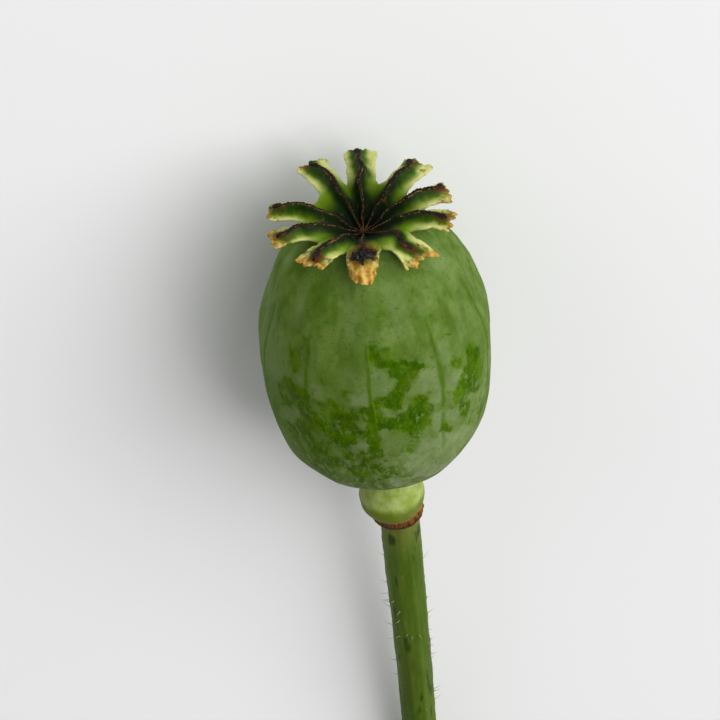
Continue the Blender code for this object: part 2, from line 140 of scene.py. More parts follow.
# Dark marks under the scar: turn in degrees and height in millimetres.
STEM_MARKS = ((-32, -49.0), (60, -48.6), (150, -49.5))

# Camera: where it stands round the head, in the head's own frame, and the place of the capsule's middle
# in a picture 720 pixels wide.
CAMERA_RISE = math.radians(42.0)
CAMERA_DISTANCE = 0.45
CAMERA_ROLL = math.radians(6.3)
PICTURE_SIDE = 720
PIXELS_PER_METRE = 5750
CAPSULE_PIXEL = (374.3, 333.5)
CAMERA_FOCUS = CAMERA_DISTANCE * PIXELS_PER_METRE
SENSOR_WIDTH = 36.0

# A line of sight is followed from before the capsule's middle to beyond it.
SIGHT_BEFORE = 30 * MM
SIGHT_BEYOND = 25 * MM
SIGHT_STEP = 0.05 * MM

# Light that comes from all around, as a share of what the pale backdrop shows.
ROOM_LIGHT = 0.26

# Half the side of the pale floor, in metres.
FLOOR_HALF = 3.0


def smooth_step(low, high, value):
    """0 below low, 1 above high, and 3 t^2 - 2 t^3 of the share t between them."""
    share = np.clip((value - low) / (high - low), 0.0, 1.0)
    return share * share * (3 - 2 * share)


def waves(points, length, seed, count=20):
    """Smooth random relief with a spread of 1.

    It is the sum of sines along random directions, with wavelengths round length and random phases,
    divided by the root of half their number.
    """
    chance = np.random.default_rng(seed)
    directions = chance.normal(size=(points.shape[-1], count))
    directions /= np.linalg.norm(directions, axis=0)
    directions *= TAU / (length * chance.uniform(0.7, 1.5, count))
    return np.sin(points @ directions + chance.uniform(0, TAU, count)).sum(-1) / math.sqrt(count / 2)


def curve_through(points, count, closed=False):
    """count points along a smooth curve through the given ones.

    Each stretch is a Catmull-Rom cubic, and the points are spread evenly over its length.
    """
    if closed:
        knots = np.vstack((points[-1:], points, points[:2]))
    else:
        knots = np.vstack((2 * points[0] - points[1], points, 2 * points[-1] - points[-2]))
    share = np.linspace(0, 1, 24, endpoint=False)[:, None, None]
    a, b, c, d = (knots[i : len(knots) - 3 + i] for i in range(4))
    fine = b + share * (c - a) / 2 + share**2 * (a - 2.5 * b + 2 * c - d / 2)
    fine = fine + share**3 * (1.5 * (b - c) + (d - a) / 2)
    fine = np.vstack((fine.transpose(1, 0, 2).reshape(-1, points.shape[1]), knots[-2]))
    steps = np.linalg.norm(np.diff(fine, axis=0), axis=1)
    way = np.concatenate(((0.0,), np.cumsum(steps)))
    places = np.linspace(0, way[-1], count, endpoint=not closed)
    return np.stack([np.interp(places, way, fine[:, i]) for i in range(points.shape[1])], -1)


def stacked(*values):
    """One grid of places from a grid for each of their coordinates."""
    return np.stack(np.broadcast_arrays(*values), -1)


def round_axis(radius, turn, height):
    """Points at a radius and turn round the axis and a height along it."""
    return stacked(radius * np.sin(turn), -radius * np.cos(turn), height)


def lay(points):
    """The head's own frame laid down in the world, and pressed flat where it would pass the floor."""
    x, y, z = points[..., 0], points[..., 1], points[..., 2]
    sin, cos = math.sin(REST_TILT), math.cos(REST_TILT)
    laid = stacked(-x, -sin * y - cos * z, -cos * y + sin * z) + np.array(REST_SHIFT)
    laid[..., 2] = np.maximum(laid[..., 2], 0.0)
    return laid


def camera_frame():
    """Where the camera stands and how it is turned, in the head's own frame."""
    away = Vector((0, -math.cos(CAMERA_RISE), math.sin(CAMERA_RISE)))
    up = Vector((0, math.sin(CAMERA_RISE), math.cos(CAMERA_RISE)))
    right = Vector((1, 0, 0))
    x = right * math.cos(CAMERA_ROLL) - up * math.sin(CAMERA_ROLL)
    y = up * math.cos(CAMERA_ROLL) + right * math.sin(CAMERA_ROLL)
    base = Matrix((x, y, away)).transposed().to_4x4()
    aside, down = ((pixel - PICTURE_SIDE / 2) / CAMERA_FOCUS for pixel in CAPSULE_PIXEL)
    aim = Matrix.Rotation(math.atan(aside), 4, "Y") @ Matrix.Rotation(math.atan(down), 4, "X")
    return Matrix.Translation(away * CAMERA_DISTANCE) @ base @ aim


def put(name, data):
    """A new object in the scene."""
    made = bpy.data.objects.new(name, data)
    bpy.context.scene.collection.objects.link(made)
    return made


def grid_faces(rows, columns, join_rows=False, join_columns=False):
    """Four-sided faces between the neighbours of a grid of points, which may close on itself."""
    index = np.arange(rows * columns).reshape(rows, columns)
    if join_rows:
        index = np.vstack((index, index[:1]))
    if join_columns:
        index = np.hstack((index, index[:, :1]))
    corners = (index[:-1, :-1], index[:-1, 1:], index[1:, 1:], index[1:, :-1])
    return np.stack(corners, -1).reshape(-1, 4)


class Shell:
    """Gathers grids of points and their values into one mesh."""

    def __init__(self, *values):
        self.points = []
        self.faces = []
        self.values = {name: [] for name in values}
        self.count = 0

    def add(self, points, join_rows=False, join_columns=False, **values):
        flat = points.reshape(-1, 3)
        self.points.append(flat)
        self.faces.append(grid_faces(*points.shape[:2], join_rows, join_columns) + self.count)
        self.count += len(flat)
        for name, gathered in self.values.items():
            value = np.broadcast_to(values.get(name, 0.0), points.shape[:-1])
            gathered.append(value.reshape(-1))

    def finish(self, name, material, slot, *nodes):
        """Makes the object: laid down, doubles merged, faces turned outwards, smooth."""
        points = np.concatenate(self.points)
        mesh = bpy.data.meshes.new(name)
        mesh.from_pydata(lay(points).tolist(), [], np.concatenate(self.faces).tolist())
        own = mesh.attributes.new("own_mm", "FLOAT_VECTOR", "POINT")
        own.data.foreach_set("vector", (points / MM).astype(np.float32).ravel())
        for key, gathered in self.values.items():
            layer = mesh.attributes.new(key, "FLOAT", "POINT")
            layer.data.foreach_set("value", np.concatenate(gathered).astype(np.float32))
        bm = bmesh.new()
        bm.from_mesh(mesh)
        bmesh.ops.remove_doubles(bm, verts=bm.verts, dist=0.0005 * MM)
        bmesh.ops.recalc_face_normals(bm, faces=bm.faces)
        bm.to_mesh(mesh)
        bm.free()
        mesh.shade_smooth()
        mesh.materials.append(material)
        piece = put(name, mesh)
        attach(piece, "root")
        if nodes:
            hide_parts(*nodes)


def tube(path, sides, section):
    """A grid round a path: section(angle) gives the sideways and upward offsets at each path point.

    Upward is square to the path, in the plane of the path and the axis of the head. Each end closes
    on its own middle.
    """
    along = np.gradient(path, axis=0)
    along /= np.linalg.norm(along, axis=1, keepdims=True)
    angle = np.linspace(0, TAU, sides, endpoint=False)
    sideways, upward = section(angle)
    side = np.cross(along, np.array((0.0, 0.0, 1.0)))
    side /= np.linalg.norm(side, axis=1, keepdims=True)
    up = np.cross(side, along)
    rings = path[:, None] + sideways[..., None] * side[:, None] + upward[..., None] * up[:, None]
    first = np.repeat(rings[:1].mean(1, keepdims=True), sides, axis=1)
    last = np.repeat(rings[-1:].mean(1, keepdims=True), sides, axis=1)
    return np.concatenate((first, rings, last))


def linear(colour):
    """A colour as the eye reads it on a screen, from 0 to 255, as the linear one that a shader takes."""
    values = [v / 255 for v in colour]
    return [v / 12.92 if v <= 0.04045 else ((v + 0.055) / 1.055) ** 2.4 for v in values]


class Wire:
    """A socket of a material, with which Python's + - * add the material's Math nodes."""

    def __init__(self, tree, socket=None):
        self.tree = tree
        self.socket = socket

    def node(self, kind, settings, inputs, output=0):
        """Adds a node of a kind: first its settings, then the values or links of its sockets."""
        made = self.tree.nodes.new("ShaderNode" + kind)
        for name, value in settings.items():
            setattr(made, name, value)
        for name, value in inputs.items():
            if isinstance(value, Wire):
                self.tree.links.new(value.socket, made.inputs[name])
            else:
                made.inputs[name].default_value = value
        return Wire(self.tree, made.outputs[output])

    def math(self, operation, *values):
        return self.node("Math", {"operation": operation}, dict(enumerate(values)))

    def __add__(self, other):
        return self.math("ADD", self, other)

    __radd__ = __add__

    def __mul__(self, other):
        return self.math("MULTIPLY", self, other)

    __rmul__ = __mul__

    def __sub__(self, other):
        return self.math("SUBTRACT", self, other)

    def __rsub__(self, other):
        return self.math("SUBTRACT", other, self)

    def __abs__(self):
        return self.math("ABSOLUTE", self)

    def step(self, low, high):
        """0 where the value is at low, 1 at high, and a smooth rise between."""
        settings = {"interpolation_type": "SMOOTHSTEP"}
        return self.node("MapRange", settings, {0: self, 1: low, 2: high, 3: 0.0, 4: 1.0})

    def value(self, name):
        """One of the piece's own values."""
        return self.node("Attribute", {"attribute_name": name}, {}, output=2)

    def own(self, stretch=(1.0, 1.0, 1.0)):
        """Places in the head's own frame in millimetres, stretched along its axes."""
        place = self.node("Attribute", {"attribute_name": "own_mm"}, {}, output=1)
        return self.node("VectorMath", {"operation": "MULTIPLY"}, {0: place, 1: stretch})

    def own_axis(self, axis):
        """The place along one axis of the head's own frame, 0 for x and 2 for z, in millimetres."""
        return self.node("SeparateXYZ", {}, {0: self.own()}, axis)

    def noise(self, size, detail=3.0, rough=0.5, tall=1.0, output=0):
        """Cloudy noise from about 0.3 to 0.7, with features of a size in millimetres.

        Heights are multiplied by tall first, so below 1 it draws the features out along the head.
        """
        inputs = {"Scale": 1 / size, "Detail": detail, "Roughness": rough}
        inputs["Vector"] = self.own((1, 1, tall))
        return self.node("TexNoise", {}, inputs, output)

    def chips(self, size, place):
        """One random number from 0 to 1 for each angular patch of a size in millimetres."""
        settings = {"feature": "F1", "distance": "MANHATTAN"}
        patch = self.node("TexVoronoi", settings, {"Vector": place, "Scale": 1 / size}, output=1)
        return self.node("SeparateColor", {}, {0: patch})

    def mix(self, share, low, high):
        """The colour low where the share is 0, and high where it is 1, either as on a screen."""
        first, second = (v if isinstance(v, Wire) else (*linear(v), 1.0) for v in (low, high))
        return self.node("Mix", {"data_type": "RGBA"}, {0: share, 6: first, 7: second}, output=2)


def skin(name, finish, specular=0.5):
    """A material. finish(wire) gives its colour, roughness and height of relief in millimetres."""
    made = bpy.data.materials.new(name)
    made.use_nodes = True
    tree = made.node_tree
    shader = tree.nodes["Principled BSDF"]
    wire = Wire(tree)
    tint, roughness, relief = finish(wire)
    tree.links.new(tint.socket, shader.inputs["Base Color"])
    tree.links.new(roughness.socket, shader.inputs["Roughness"])
    bump = wire.node("Bump", {}, {"Height": relief, "Distance": MM, "Strength": 1.0})
    tree.links.new(bump.socket, shader.inputs["Normal"])
    shader.inputs["Specular IOR Level"].default_value = specular
    return made


# Turns of the vein lines under the rays, in degrees.
VEIN_TURNS = (-5, 31, 69, 104, 138, 176, 208, 257, 288, 322)

# Half the width of the edge of a patch of bloom, in millimetres.
BLOOM_EDGE = 1.0

# Places where the bloom is rubbed off, above 0, or kept, below 0: strength, and corners as the camera
# sees them, in pixels.
BLOOM_PATCHES = (
    (1.6, ((290, 329), (300, 331), (307, 339), (308, 349), (299, 350), (300, 364), (300, 371),
        (293, 371), (290, 362))),
    (1.4, ((279, 376), (285, 376), (291, 381), (300, 387), (308, 388), (309, 398), (300, 397),
        (297, 392), (292, 391), (289, 397), (280, 395))),
    (1.0, ((283, 398), (296, 396), (303, 399), (318, 399), (330, 399), (332, 404), (345, 404),
        (347, 409), (338, 411), (325, 406), (316, 411), (305, 407), (300, 409), (292, 408), (284, 405))),
    (1.0, ((300, 411), (316, 412), (323, 411), (333, 420), (330, 428), (318, 430), (311, 428),
        (309, 436), (300, 437), (292, 430), (289, 424), (300, 421))),
    (1.1, ((332, 409), (344, 412), (357, 410), (361, 407), (372, 404), (374, 422), (368, 421),
        (358, 421), (350, 427), (341, 424), (335, 419), (331, 414))),
    (0.8, ((340, 427), (352, 428), (362, 431), (372, 431), (370, 440), (357, 441), (346, 447),
        (338, 447), (333, 440), (333, 432))),
    (1.0, ((340, 393), (346, 388), (353, 391), (357, 395), (350, 398), (342, 397))),
    (1.0, ((319, 377), (323, 377), (326, 384), (327, 390), (322, 388))),
    (1.5, ((370, 345), (376, 345), (381, 349), (389, 350), (391, 358), (400, 363), (408, 362),
        (418, 361), (424, 360), (430, 362), (427, 368), (421, 371), (417, 376), (411, 379), (404, 377),
        (395, 378), (390, 377), (386, 370), (379, 368), (374, 366), (371, 358))),
    (0.8, ((397, 379), (404, 379), (411, 382), (413, 387), (410, 392), (400, 394), (394, 390))),
    (1.5, ((378, 397), (385, 394), (392, 391), (400, 393), (402, 398), (401, 406), (396, 409),
        (386, 409), (380, 406))),
    (1.2, ((373, 400), (377, 410), (383, 418), (391, 413), (400, 412), (407, 414), (408, 424),
        (410, 430), (402, 431), (392, 430), (383, 428), (377, 432), (372, 424))),
    (1.2, ((412, 400), (418, 396), (429, 394), (431, 403), (430, 412), (429, 420), (424, 428),
        (420, 434), (416, 438), (411, 434), (409, 424), (408, 412))),
    (0.9, ((449, 358), (456, 357), (462, 360), (463, 368), (458, 368), (452, 366))),
    (1.1, ((470, 345), (477, 345), (478, 354), (480, 366), (479, 380), (478, 392), (470, 394),
        (462, 389), (461, 379), (465, 371), (468, 360), (466, 352))),
    (1.1, ((440, 331), (447, 328), (452, 330), (452, 339), (447, 338), (442, 337))),
    (1.2, ((461, 399), (467, 400), (467, 410), (464, 416), (461, 409))),
    (0.8, ((442, 425), (448, 421), (450, 428), (449, 434), (444, 431))),
    (1.2, ((370, 437), (378, 438), (380, 450), (378, 457), (372, 455), (369, 448))),
    (0.5, ((310, 438), (330, 441), (334, 449), (345, 449), (352, 452), (366, 452), (372, 462),
        (400, 462), (402, 470), (385, 478), (350, 470), (320, 462), (308, 450))),
    (-1.2, ((280, 409), (297, 408), (302, 414), (305, 419), (296, 421), (285, 421), (280, 416))),
    (-1.2, ((357, 421), (366, 422), (368, 427), (361, 430), (357, 426))),
    (-0.9, ((314, 431), (318, 431), (320, 437), (317, 440), (313, 436))),
    (-1.1, ((311, 383), (319, 384), (324, 390), (328, 394), (328, 398), (312, 398), (310, 391))),
    (-0.8, ((311, 402), (317, 404), (321, 411), (315, 409))),
    (-1.1, ((347, 404), (352, 398), (361, 393), (367, 392), (370, 400), (368, 408), (360, 406),
        (352, 408), (345, 411), (341, 407))),
    (-1.1, ((297, 373), (304, 373), (306, 386), (301, 386), (296, 379))),
    (-1.4, ((375, 371), (385, 371), (390, 378), (398, 380), (395, 386), (391, 389), (386, 392),
        (382, 395), (376, 394), (374, 385))),
    (-1.2, ((380, 410), (390, 411), (397, 413), (396, 416), (386, 415), (381, 413))),
    (-1.4, ((433, 358), (436, 366), (438, 378), (440, 391), (441, 402), (437, 405), (431, 401),
        (431, 394), (424, 394), (416, 397), (411, 396), (413, 389), (417, 382), (422, 377), (425, 371),
        (429, 364))),
    (-1.2, ((438, 340), (449, 339), (450, 346), (449, 357), (446, 363), (441, 364), (439, 355))),
    (-1.2, ((444, 375), (450, 373), (458, 370), (464, 369), (463, 375), (459, 381), (455, 388),
        (448, 388), (445, 383))),
    (-1.2, ((431, 412), (441, 412), (447, 411), (455, 409), (461, 413), (461, 420), (452, 421),
        (446, 421), (441, 426), (437, 432), (431, 431), (432, 422))),
    (-1.3, ((430, 438), (441, 434), (451, 433), (461, 430), (468, 425), (474, 430), (462, 446),
        (448, 464), (432, 474), (418, 477), (409, 472), (404, 466), (407, 455), (420, 450), (424, 443))),
    (-0.5, ((391, 436), (398, 433), (403, 435), (405, 444), (396, 446), (391, 442))),
    (-0.5, ((380, 432), (385, 432), (384, 443), (379, 444))),
    (-1.0, ((381, 459), (386, 456), (390, 455), (389, 459), (384, 463))),
    (-1.0, ((399, 456), (406, 454), (408, 457), (402, 459))),
    (-0.9, ((352, 446), (358, 442), (368, 439), (371, 444), (365, 448), (356, 449))),
    (-0.8, ((328, 450), (334, 449), (341, 449), (341, 456), (334, 457), (328, 455))),
    (-1.2, ((390, 479), (397, 476), (403, 479), (400, 486), (393, 487))),
)

# Soft bands of the upper half, paler above 0 and darker below 0: turn and height of the middle, half width
# in degrees, half height in millimetres, and amount. Paler is partly thicker bloom and partly painted
# highlight and sheen, as at turns 17 and 64; darker is thinner bloom.
BLOOM_AND_HIGHLIGHT_BANDS = (
    (-84, 20.5, 10, 3.0, 0.6),
    (-50, 17.0, 6, 5.5, 0.5),
    (-35, 19.5, 7, 6.5, -0.65),
    (-16, 20.0, 5, 4.0, 0.45),
    (-4, 18.5, 7, 5.0, -0.5),
    (17, 19.2, 10, 4.0, 0.5),
    (47, 11.0, 6, 3.0, -0.55),
    (64, 20.0, 12, 3.0, 0.7),
    (68, 16.0, 6, 2.5, -0.6),
)


def vein_phase(turn):
    """Whole at each vein line and a half midway between two."""
    places = np.sort(np.radians(VEIN_TURNS) % TAU)
    around = np.concatenate((places - TAU, places, places + TAU))
    return np.interp(turn % TAU, around, np.arange(len(around)))


def dished(share):
    """0 at the centre and 1 at a share of 1: share times (0.75 + 1.5 share - 1.25 share^2)."""
    share = np.minimum(share, 1.0)
    return share * (0.75 + 1.5 * share - 1.25 * share * share)


def soft_spots(spots, turn, height):
    """Sum of soft spots: each its amount times exp(-a^2 - b^2), a and b its turn and height away."""
    total = 0 * turn * height
    for at, level, half_turn, half_height, amount in spots:
        aside = (np.degrees(turn) - at) / half_turn
        total = total + amount * np.exp(-(aside**2) - ((height / MM - level) / half_height) ** 2)
    return total


def capsule_outline(count):
    """(radius, height) from the middle of the dish down to the base.

    The side has radius R cos(a) and height H times sin(a) to the power 2 / n, with H and n of its own
    above and below the widest part. The dish follows the underside of the crown.
    """
    top = math.acos(CAPSULE_DISH_RADIUS / CAPSULE_RADIUS)
    base = -math.acos(CAPSULE_BASE_RADIUS / CAPSULE_RADIUS)
    angle = np.linspace(top, base, count)
    reach = np.abs(np.sin(angle))
    above = CAPSULE_TOP * reach ** (2 / CAPSULE_TOP_POWER)
    below = -CAPSULE_BOTTOM * reach ** (2 / CAPSULE_BOTTOM_POWER)
    side = stacked(CAPSULE_RADIUS * np.cos(angle), np.where(angle >= 0, above, below))
    radius = np.linspace(0, CAPSULE_DISH_RADIUS, 14)[:-1]
    under = DISC_CENTRE_Z + DISC_RISE * dished(radius / NOTCH_RADIUS) - DISC_THICKNESS - PIECE_GAP
    dish = stacked(radius, np.minimum(under, side[0, 1]))
    base = stacked(np.linspace(1, 0, 6)[1:] * side[-1, 0], side[-1, 1])
    return np.vstack((dish, side, base))


def patch_depth(across, height, corners):
    """Distance to the nearest side of a patch, above 0 inside it and below 0 outside.

    A place is inside where a line from it crosses the sides an odd number of times.
    """
    nearest = np.full(across.shape, np.inf)
    inside = np.zeros(across.shape, bool)
    for (x1, y1), (x2, y2) in zip(corners, np.roll(corners, -1, axis=0)):
        wide, tall = x2 - x1, y2 - y1
        share = np.clip(((across - x1) * wide + (height - y1) * tall) / (wide**2 + tall**2), 0, 1)
        nearest = np.minimum(nearest, np.hypot(across - x1 - share * wide, height - y1 - share * tall))
        passed = across < x1 + (height - y1) * wide / (tall if tall else 1.0)
        inside ^= ((y1 > height) != (y2 > height)) & passed
    return np.where(inside, nearest, -nearest)


def capsule_radius(height):
    """Radius of the capsule's side at a height: R times the root of 1 - (height / H)^n."""
    above = np.clip(height / CAPSULE_TOP, 0, 1) ** CAPSULE_TOP_POWER
    below = np.clip(-height / CAPSULE_BOTTOM, 0, 1) ** CAPSULE_BOTTOM_POWER
    return CAPSULE_RADIUS * np.sqrt(1 - above - below)


def capsule_places(pixels):
    """Turns and heights of the places on the capsule that the camera sees at some pixels.

    Each line of sight is followed in steps of SIGHT_STEP to the first place inside the capsule, or to
    the nearest one where it passes beside it.
    """
    frame = np.array(camera_frame())
    offset = (np.array(pixels) - PICTURE_SIDE / 2) / CAMERA_FOCUS
    sight = stacked(offset[:, 0], -offset[:, 1], -1.0) @ frame[:3, :3].T
    way = CAMERA_DISTANCE + np.arange(-SIGHT_BEFORE, SIGHT_BEYOND, SIGHT_STEP)
    places = frame[:3, 3] + sight[:, None] * way[:, None]
    outside = np.hypot(places[..., 0], places[..., 1]) - capsule_radius(places[..., 2])
    inside = outside < 0
    first = np.where(inside.any(1), inside.argmax(1), outside.argmin(1))
    x, y, height = places[np.arange(len(first)), first].T
    return np.arctan2(x, -y), height


def bloom_patches(turn, height):
    """Sum of the listed patches: each rises to its strength over BLOOM_EDGE either side of its edge.

    The places are first shifted by waves 3 and 1.2 mm long, which makes the edges ragged.
    """
    places = stacked(turn * CAPSULE_RADIUS, height) / MM
    across = places[..., 0] + 0.28 * waves(places, 3.0, 61) + 0.1 * waves(places, 1.2, 62)
    level = places[..., 1] + 0.3 * waves(places, 3.0, 63) + 0.13 * waves(places, 1.2, 64)
    total = 0 * across
    for strength, pixels in BLOOM_PATCHES:
        aside, up = capsule_places(pixels)
        corners = stacked(aside * CAPSULE_RADIUS, up) / MM
        total += strength * smooth_step(-BLOOM_EDGE, BLOOM_EDGE, patch_depth(across, level, corners))
    return total


def make_capsule(material):
    """The outline turned round the axis, swollen under each lobe, with soft dents and raised veins.

    The swelling is RIB_HEIGHT times cos(2 pi phase), the phase whole at each vein, and less below. The
    dents are waves 14, 6 and 2.5 mm long, and the bulges are soft spots. A vein is VEIN_HEIGHT high and
    falls as exp(-d^2), d being VEIN_NARROWNESS times sin(pi phase).
    """
    outline = curve_through(capsule_outline(90), 230)
    turn = np.linspace(-math.pi, math.pi, 340, endpoint=False)[None]
    radius, height = outline[:, :1], outline[:, 1:]
    smooth = round_axis(radius, turn, height)
    wobble = 0.006 * waves(smooth, 16 * MM, 1, 8) + 0.003 * waves(smooth, 3 * MM, 2, 8)
    phase = TAU * vein_phase(turn + wobble)
    share = RIB_SHARE_BELOW + (1 - RIB_SHARE_BELOW) * smooth_step(-9 * MM, 17 * MM, height)
    share = share * smooth_step(-30.6 * MM, -18 * MM, height)
    swell = RIB_HEIGHT * share * np.cos(phase)
    swell = swell + 0.08 * MM * waves(smooth, 14 * MM, 3) + 0.035 * MM * waves(smooth, 6 * MM, 4)
    swell = swell + 0.012 * MM * waves(smooth, 2.5 * MM, 5)
    vein = np.exp(-((np.sin(phase / 2) * VEIN_NARROWNESS) ** 2))
    swell = swell + VEIN_HEIGHT * vein * smooth_step(-24 * MM, -12 * MM, height)
    swell = swell + soft_spots(CAPSULE_BULGES, turn, height)
    swell = swell * smooth_step(2 * MM, 8 * MM, radius)
    points = round_axis(radius + swell, turn, height)
    shell = Shell("phase_cos", "phase_sin", "rubbed", "thick")
    shell.add(
        points,
        join_columns=True,
        phase_cos=np.cos(phase),
        phase_sin=np.sin(phase),
        rubbed=bloom_patches(turn, height),
        thick=soft_spots(BLOOM_AND_HIGHLIGHT_BANDS, turn, height),
    )
    shell.finish("capsule_shell", material, "capsule_skin", "capsule")


def capsule_finish(wire):
    """Waxy bloom over glossy green, rubbed off in ragged patches, with yellow-green vein bands, and painted
    light: a highlight beside each vein, lighter patches and bands of highlight in the upper half, a grey
    sheen on the left edge and a whitish sheen near the base.
    """
    height = wire.own_axis(2)
    x = wire.own_axis(0)
    lower = 1 - height.step(-9.0, 11.0)
    base = 1 - height.step(-27.0, -17.0)
    swirl = wire.noise(2.2, output=1)
    drift = wire.node("VectorMath", {"operation": "SCALE"}, {0: swirl, "Scale": 1.6})
    place = wire.node("VectorMath", {"operation": "ADD"}, {0: wire.own((1, 1, 0.7)), 1: drift})
    cloud = wire.noise(6.0, 2.0, 0.5)
    ragged = wire.noise(2.3, 4.0, 0.66, tall=0.8)
    chip = wire.chips(2.6, place)
    fleck = wire.noise(0.75, 2.0, 0.6, tall=0.6)
    rubbed = (cloud - 0.5) * 2.0 + (ragged - 0.5) * (lower * 1.6 + 1.8) + (chip - 0.5) * lower * 0.35
    rubbed = rubbed + wire.value("rubbed") + lower * 0.56 - base * 0.3 - 0.48
    sharp = rubbed.step(-0.4, 0.6)
    soft = rubbed.step(-0.9, 0.7)
    bare = sharp * 0.5 + soft * 0.5
    dab = wire.noise(1.2, 4.0, 0.7, tall=0.6).step(0.5, 0.64) * (lower * 0.7 + 0.2)
    mottle = wire.noise(0.9, 3.0, 0.7, tall=0.5).step(0.4, 0.6)
    bare = bare * (1 - dab * 0.8) * (0.8 + mottle * 0.2)
    bare = bare + (1 - bare) * bare.step(0.52, 0.92) * 0.85
    tone = (wire.noise(3.0, 3.0, 0.55) * 0.6 + ragged * 0.4).step(0.38, 0.62)
    skin_tone = wire.mix(tone, (52, 86, 0), (78, 112, 0))
    deep = wire.mix(x.step(-12.0, -3.0), (80, 106, 0), (46, 84, 0))
    skin_tone = wire.mix(wire.value("rubbed").step(0.7, 1.4) * 0.7, skin_tone, deep)
    worn = wire.noise(1.1, 4.0, 0.7, tall=0.7)
    skin_tone = wire.mix(worn.step(0.5, 0.64) * 0.55, skin_tone, (40, 64, 0))
    skin_tone = wire.mix((1 - worn.step(0.36, 0.46)) * 0.35, skin_tone, (98, 122, 16))
    misty = (wire.noise(4.5, 3.0, 0.55) * 0.6 + ragged * 0.4).step(0.38, 0.62)
    bloom_tone = wire.mix(misty, (86, 112, 42), (108, 130, 68))
    grey = wire.mix(misty, (103, 124, 62), (126, 145, 92))
    bloom_tone = wire.mix(lower * 0.8 + base * 0.2, bloom_tone, grey)
    bloom_tone = wire.mix((1 - x.step(-15.0, 2.0)) * 0.55, bloom_tone, (86, 112, 34))
    # Painted sheen: a greyish veil of reflected light along the left edge, from a little below the widest
    # part upwards.
    edge = (1 - (x + ragged * 3).step(-15.5, -12.0)) * height.step(-8.0, 0.0)
    bloom_tone = wire.mix(edge * 0.6, bloom_tone, (114, 134, 86))
    # Whitish where the bloom is kept thickest, and near the base a whitish painted sheen of reflected
    # light.
    thick_bloom_and_sheen = (0 - wire.value("rubbed")).step(0.3, 1.1) * (0.12 + base * 0.88)
    thick_bloom_and_sheen = thick_bloom_and_sheen + base * ragged.step(0.4, 0.6) * 0.3
    bloom_tone = wire.mix(thick_bloom_and_sheen, bloom_tone, (158, 168, 142))
    tint = wire.mix(bare, bloom_tone, skin_tone)
    frost = wire.noise(1.0, 4.0, 0.7, tall=0.35).step(0.5, 0.62)
    tint = wire.mix(frost * (1 - height.step(-24.0, -7.0)) * 0.5, tint, (160, 172, 122))
    beside = wire.value("phase_sin") * 2.0
    near = wire.value("phase_cos").step(0.0, 0.5) * height.step(-19.0, -6.0)
    near = near * (1 - height.step(11.0, 17.0)) * ragged.step(0.34, 0.46)
    band = 1 - abs(beside + (ragged - 0.5) * 0.6).step(0.14, 0.7)
    # Painted highlight: a lighter line along one side of each raised vein.
    light = 1 - abs(beside - 0.38).step(0.05, 0.25)
    tint = wire.mix(band * near * 0.65, tint, (62, 98, 0))
    tint = wire.mix(light * near * cloud.step(0.4, 0.6) * 0.5, tint, (116, 138, 30))
    upper = height.step(2.0, 14.0)
    shade = wire.noise(2.6, 3.0, 0.6, tall=0.3).step(0.42, 0.62)
    tint = wire.mix(shade * upper * 0.4, tint, (54, 82, 6))
    # Soft lighter patches over the upper half: painted highlight.
    glow = wire.noise(3.8, 3.0, 0.6, tall=0.5).step(0.52, 0.68)
    tint = wire.mix(glow * upper * 0.4, tint, (112, 136, 66))
    # Bands of thicker and thinner bloom; the pale ones also carry painted highlight and sheen.
    band_bloom_and_highlight = wire.value("thick") * (0.6 + ragged * 0.8)
    tint = wire.mix(band_bloom_and_highlight.step(0.0, 1.0) * 0.85, tint, (124, 146, 88))
    tint = wire.mix((0 - band_bloom_and_highlight).step(0.0, 1.0) * 0.85, tint, (56, 86, 10))
    warm = wire.noise(3.4, 3.0, 0.6).step(0.56, 0.68) * (1 - base)
    tint = wire.mix(warm * 0.25, tint, (88, 104, 6))
    graze = wire.noise(0.9, 3.0, 0.7, tall=1.6).step(0.58, 0.68)
    tint = wire.mix(graze * 0.42, tint, (50, 72, 2))
    speck = wire.noise(0.55, 1.0, 0.5).step(0.70, 0.76) * wire.noise(6.0, 1.0, 0.5).step(0.48, 0.6)
    tint = wire.mix(speck * 0.7, tint, (48, 52, 12))
    roughness = 0.55 - bare * 0.2 + fleck * 0.1
    relief = fleck * 0.05 + wire.noise(0.25, 2.0, 0.6) * 0.02 + ragged * 0.06 - bare * 0.012
    return tint, roughness, relief


def lobe_halves(lobe):
    """Half of the angles from a lobe to its neighbours, on its low and its high side."""
    turns = sorted(math.radians(other.turn) % TAU for other in LOBES)
    place = min(range(len(turns)), key=lambda i: abs(turns[i] - math.radians(lobe.turn) % TAU))
    low = (turns[place] - turns[place - 1]) % TAU
    high = (turns[(place + 1) % len(turns)] - turns[place]) % TAU
    return low / 2, high / 2


def lobe_seed(lobe):
    """A seed of the lobe's own, from its turn."""
    return int(lobe.turn) % 360


def lobe_xy(lobe, along, sideways):
    """x and y of places some way along a lobe and some way sideways."""
    turn = math.radians(lobe.turn)
    x = along * math.sin(turn) + sideways * math.cos(turn)
    y = -along * math.cos(turn) + sideways * math.sin(turn)
    return x, y


def free_edge(grid, rows):
    """What a lobe's grid holds along its free edge, past the first rows: from notch to tip to notch."""
    return np.concatenate((grid[rows:, 0], grid[-1, 1:-1], grid[rows:, -1][::-1]))


def blade_share(radius, lobe):
    """0 as far as the notches, 1 at the lobe's tip."""
    return np.maximum(radius - NOTCH_RADIUS, 0.0) / (lobe.reach - NOTCH_RADIUS)


def tip_lift(radius, lobe):
    """How far a blade is lifted: its tip's lift times the share of the way to the power of 1.4."""
    return lobe.tip_lift * blade_share(radius, lobe) ** BLADE_LIFT_POWER


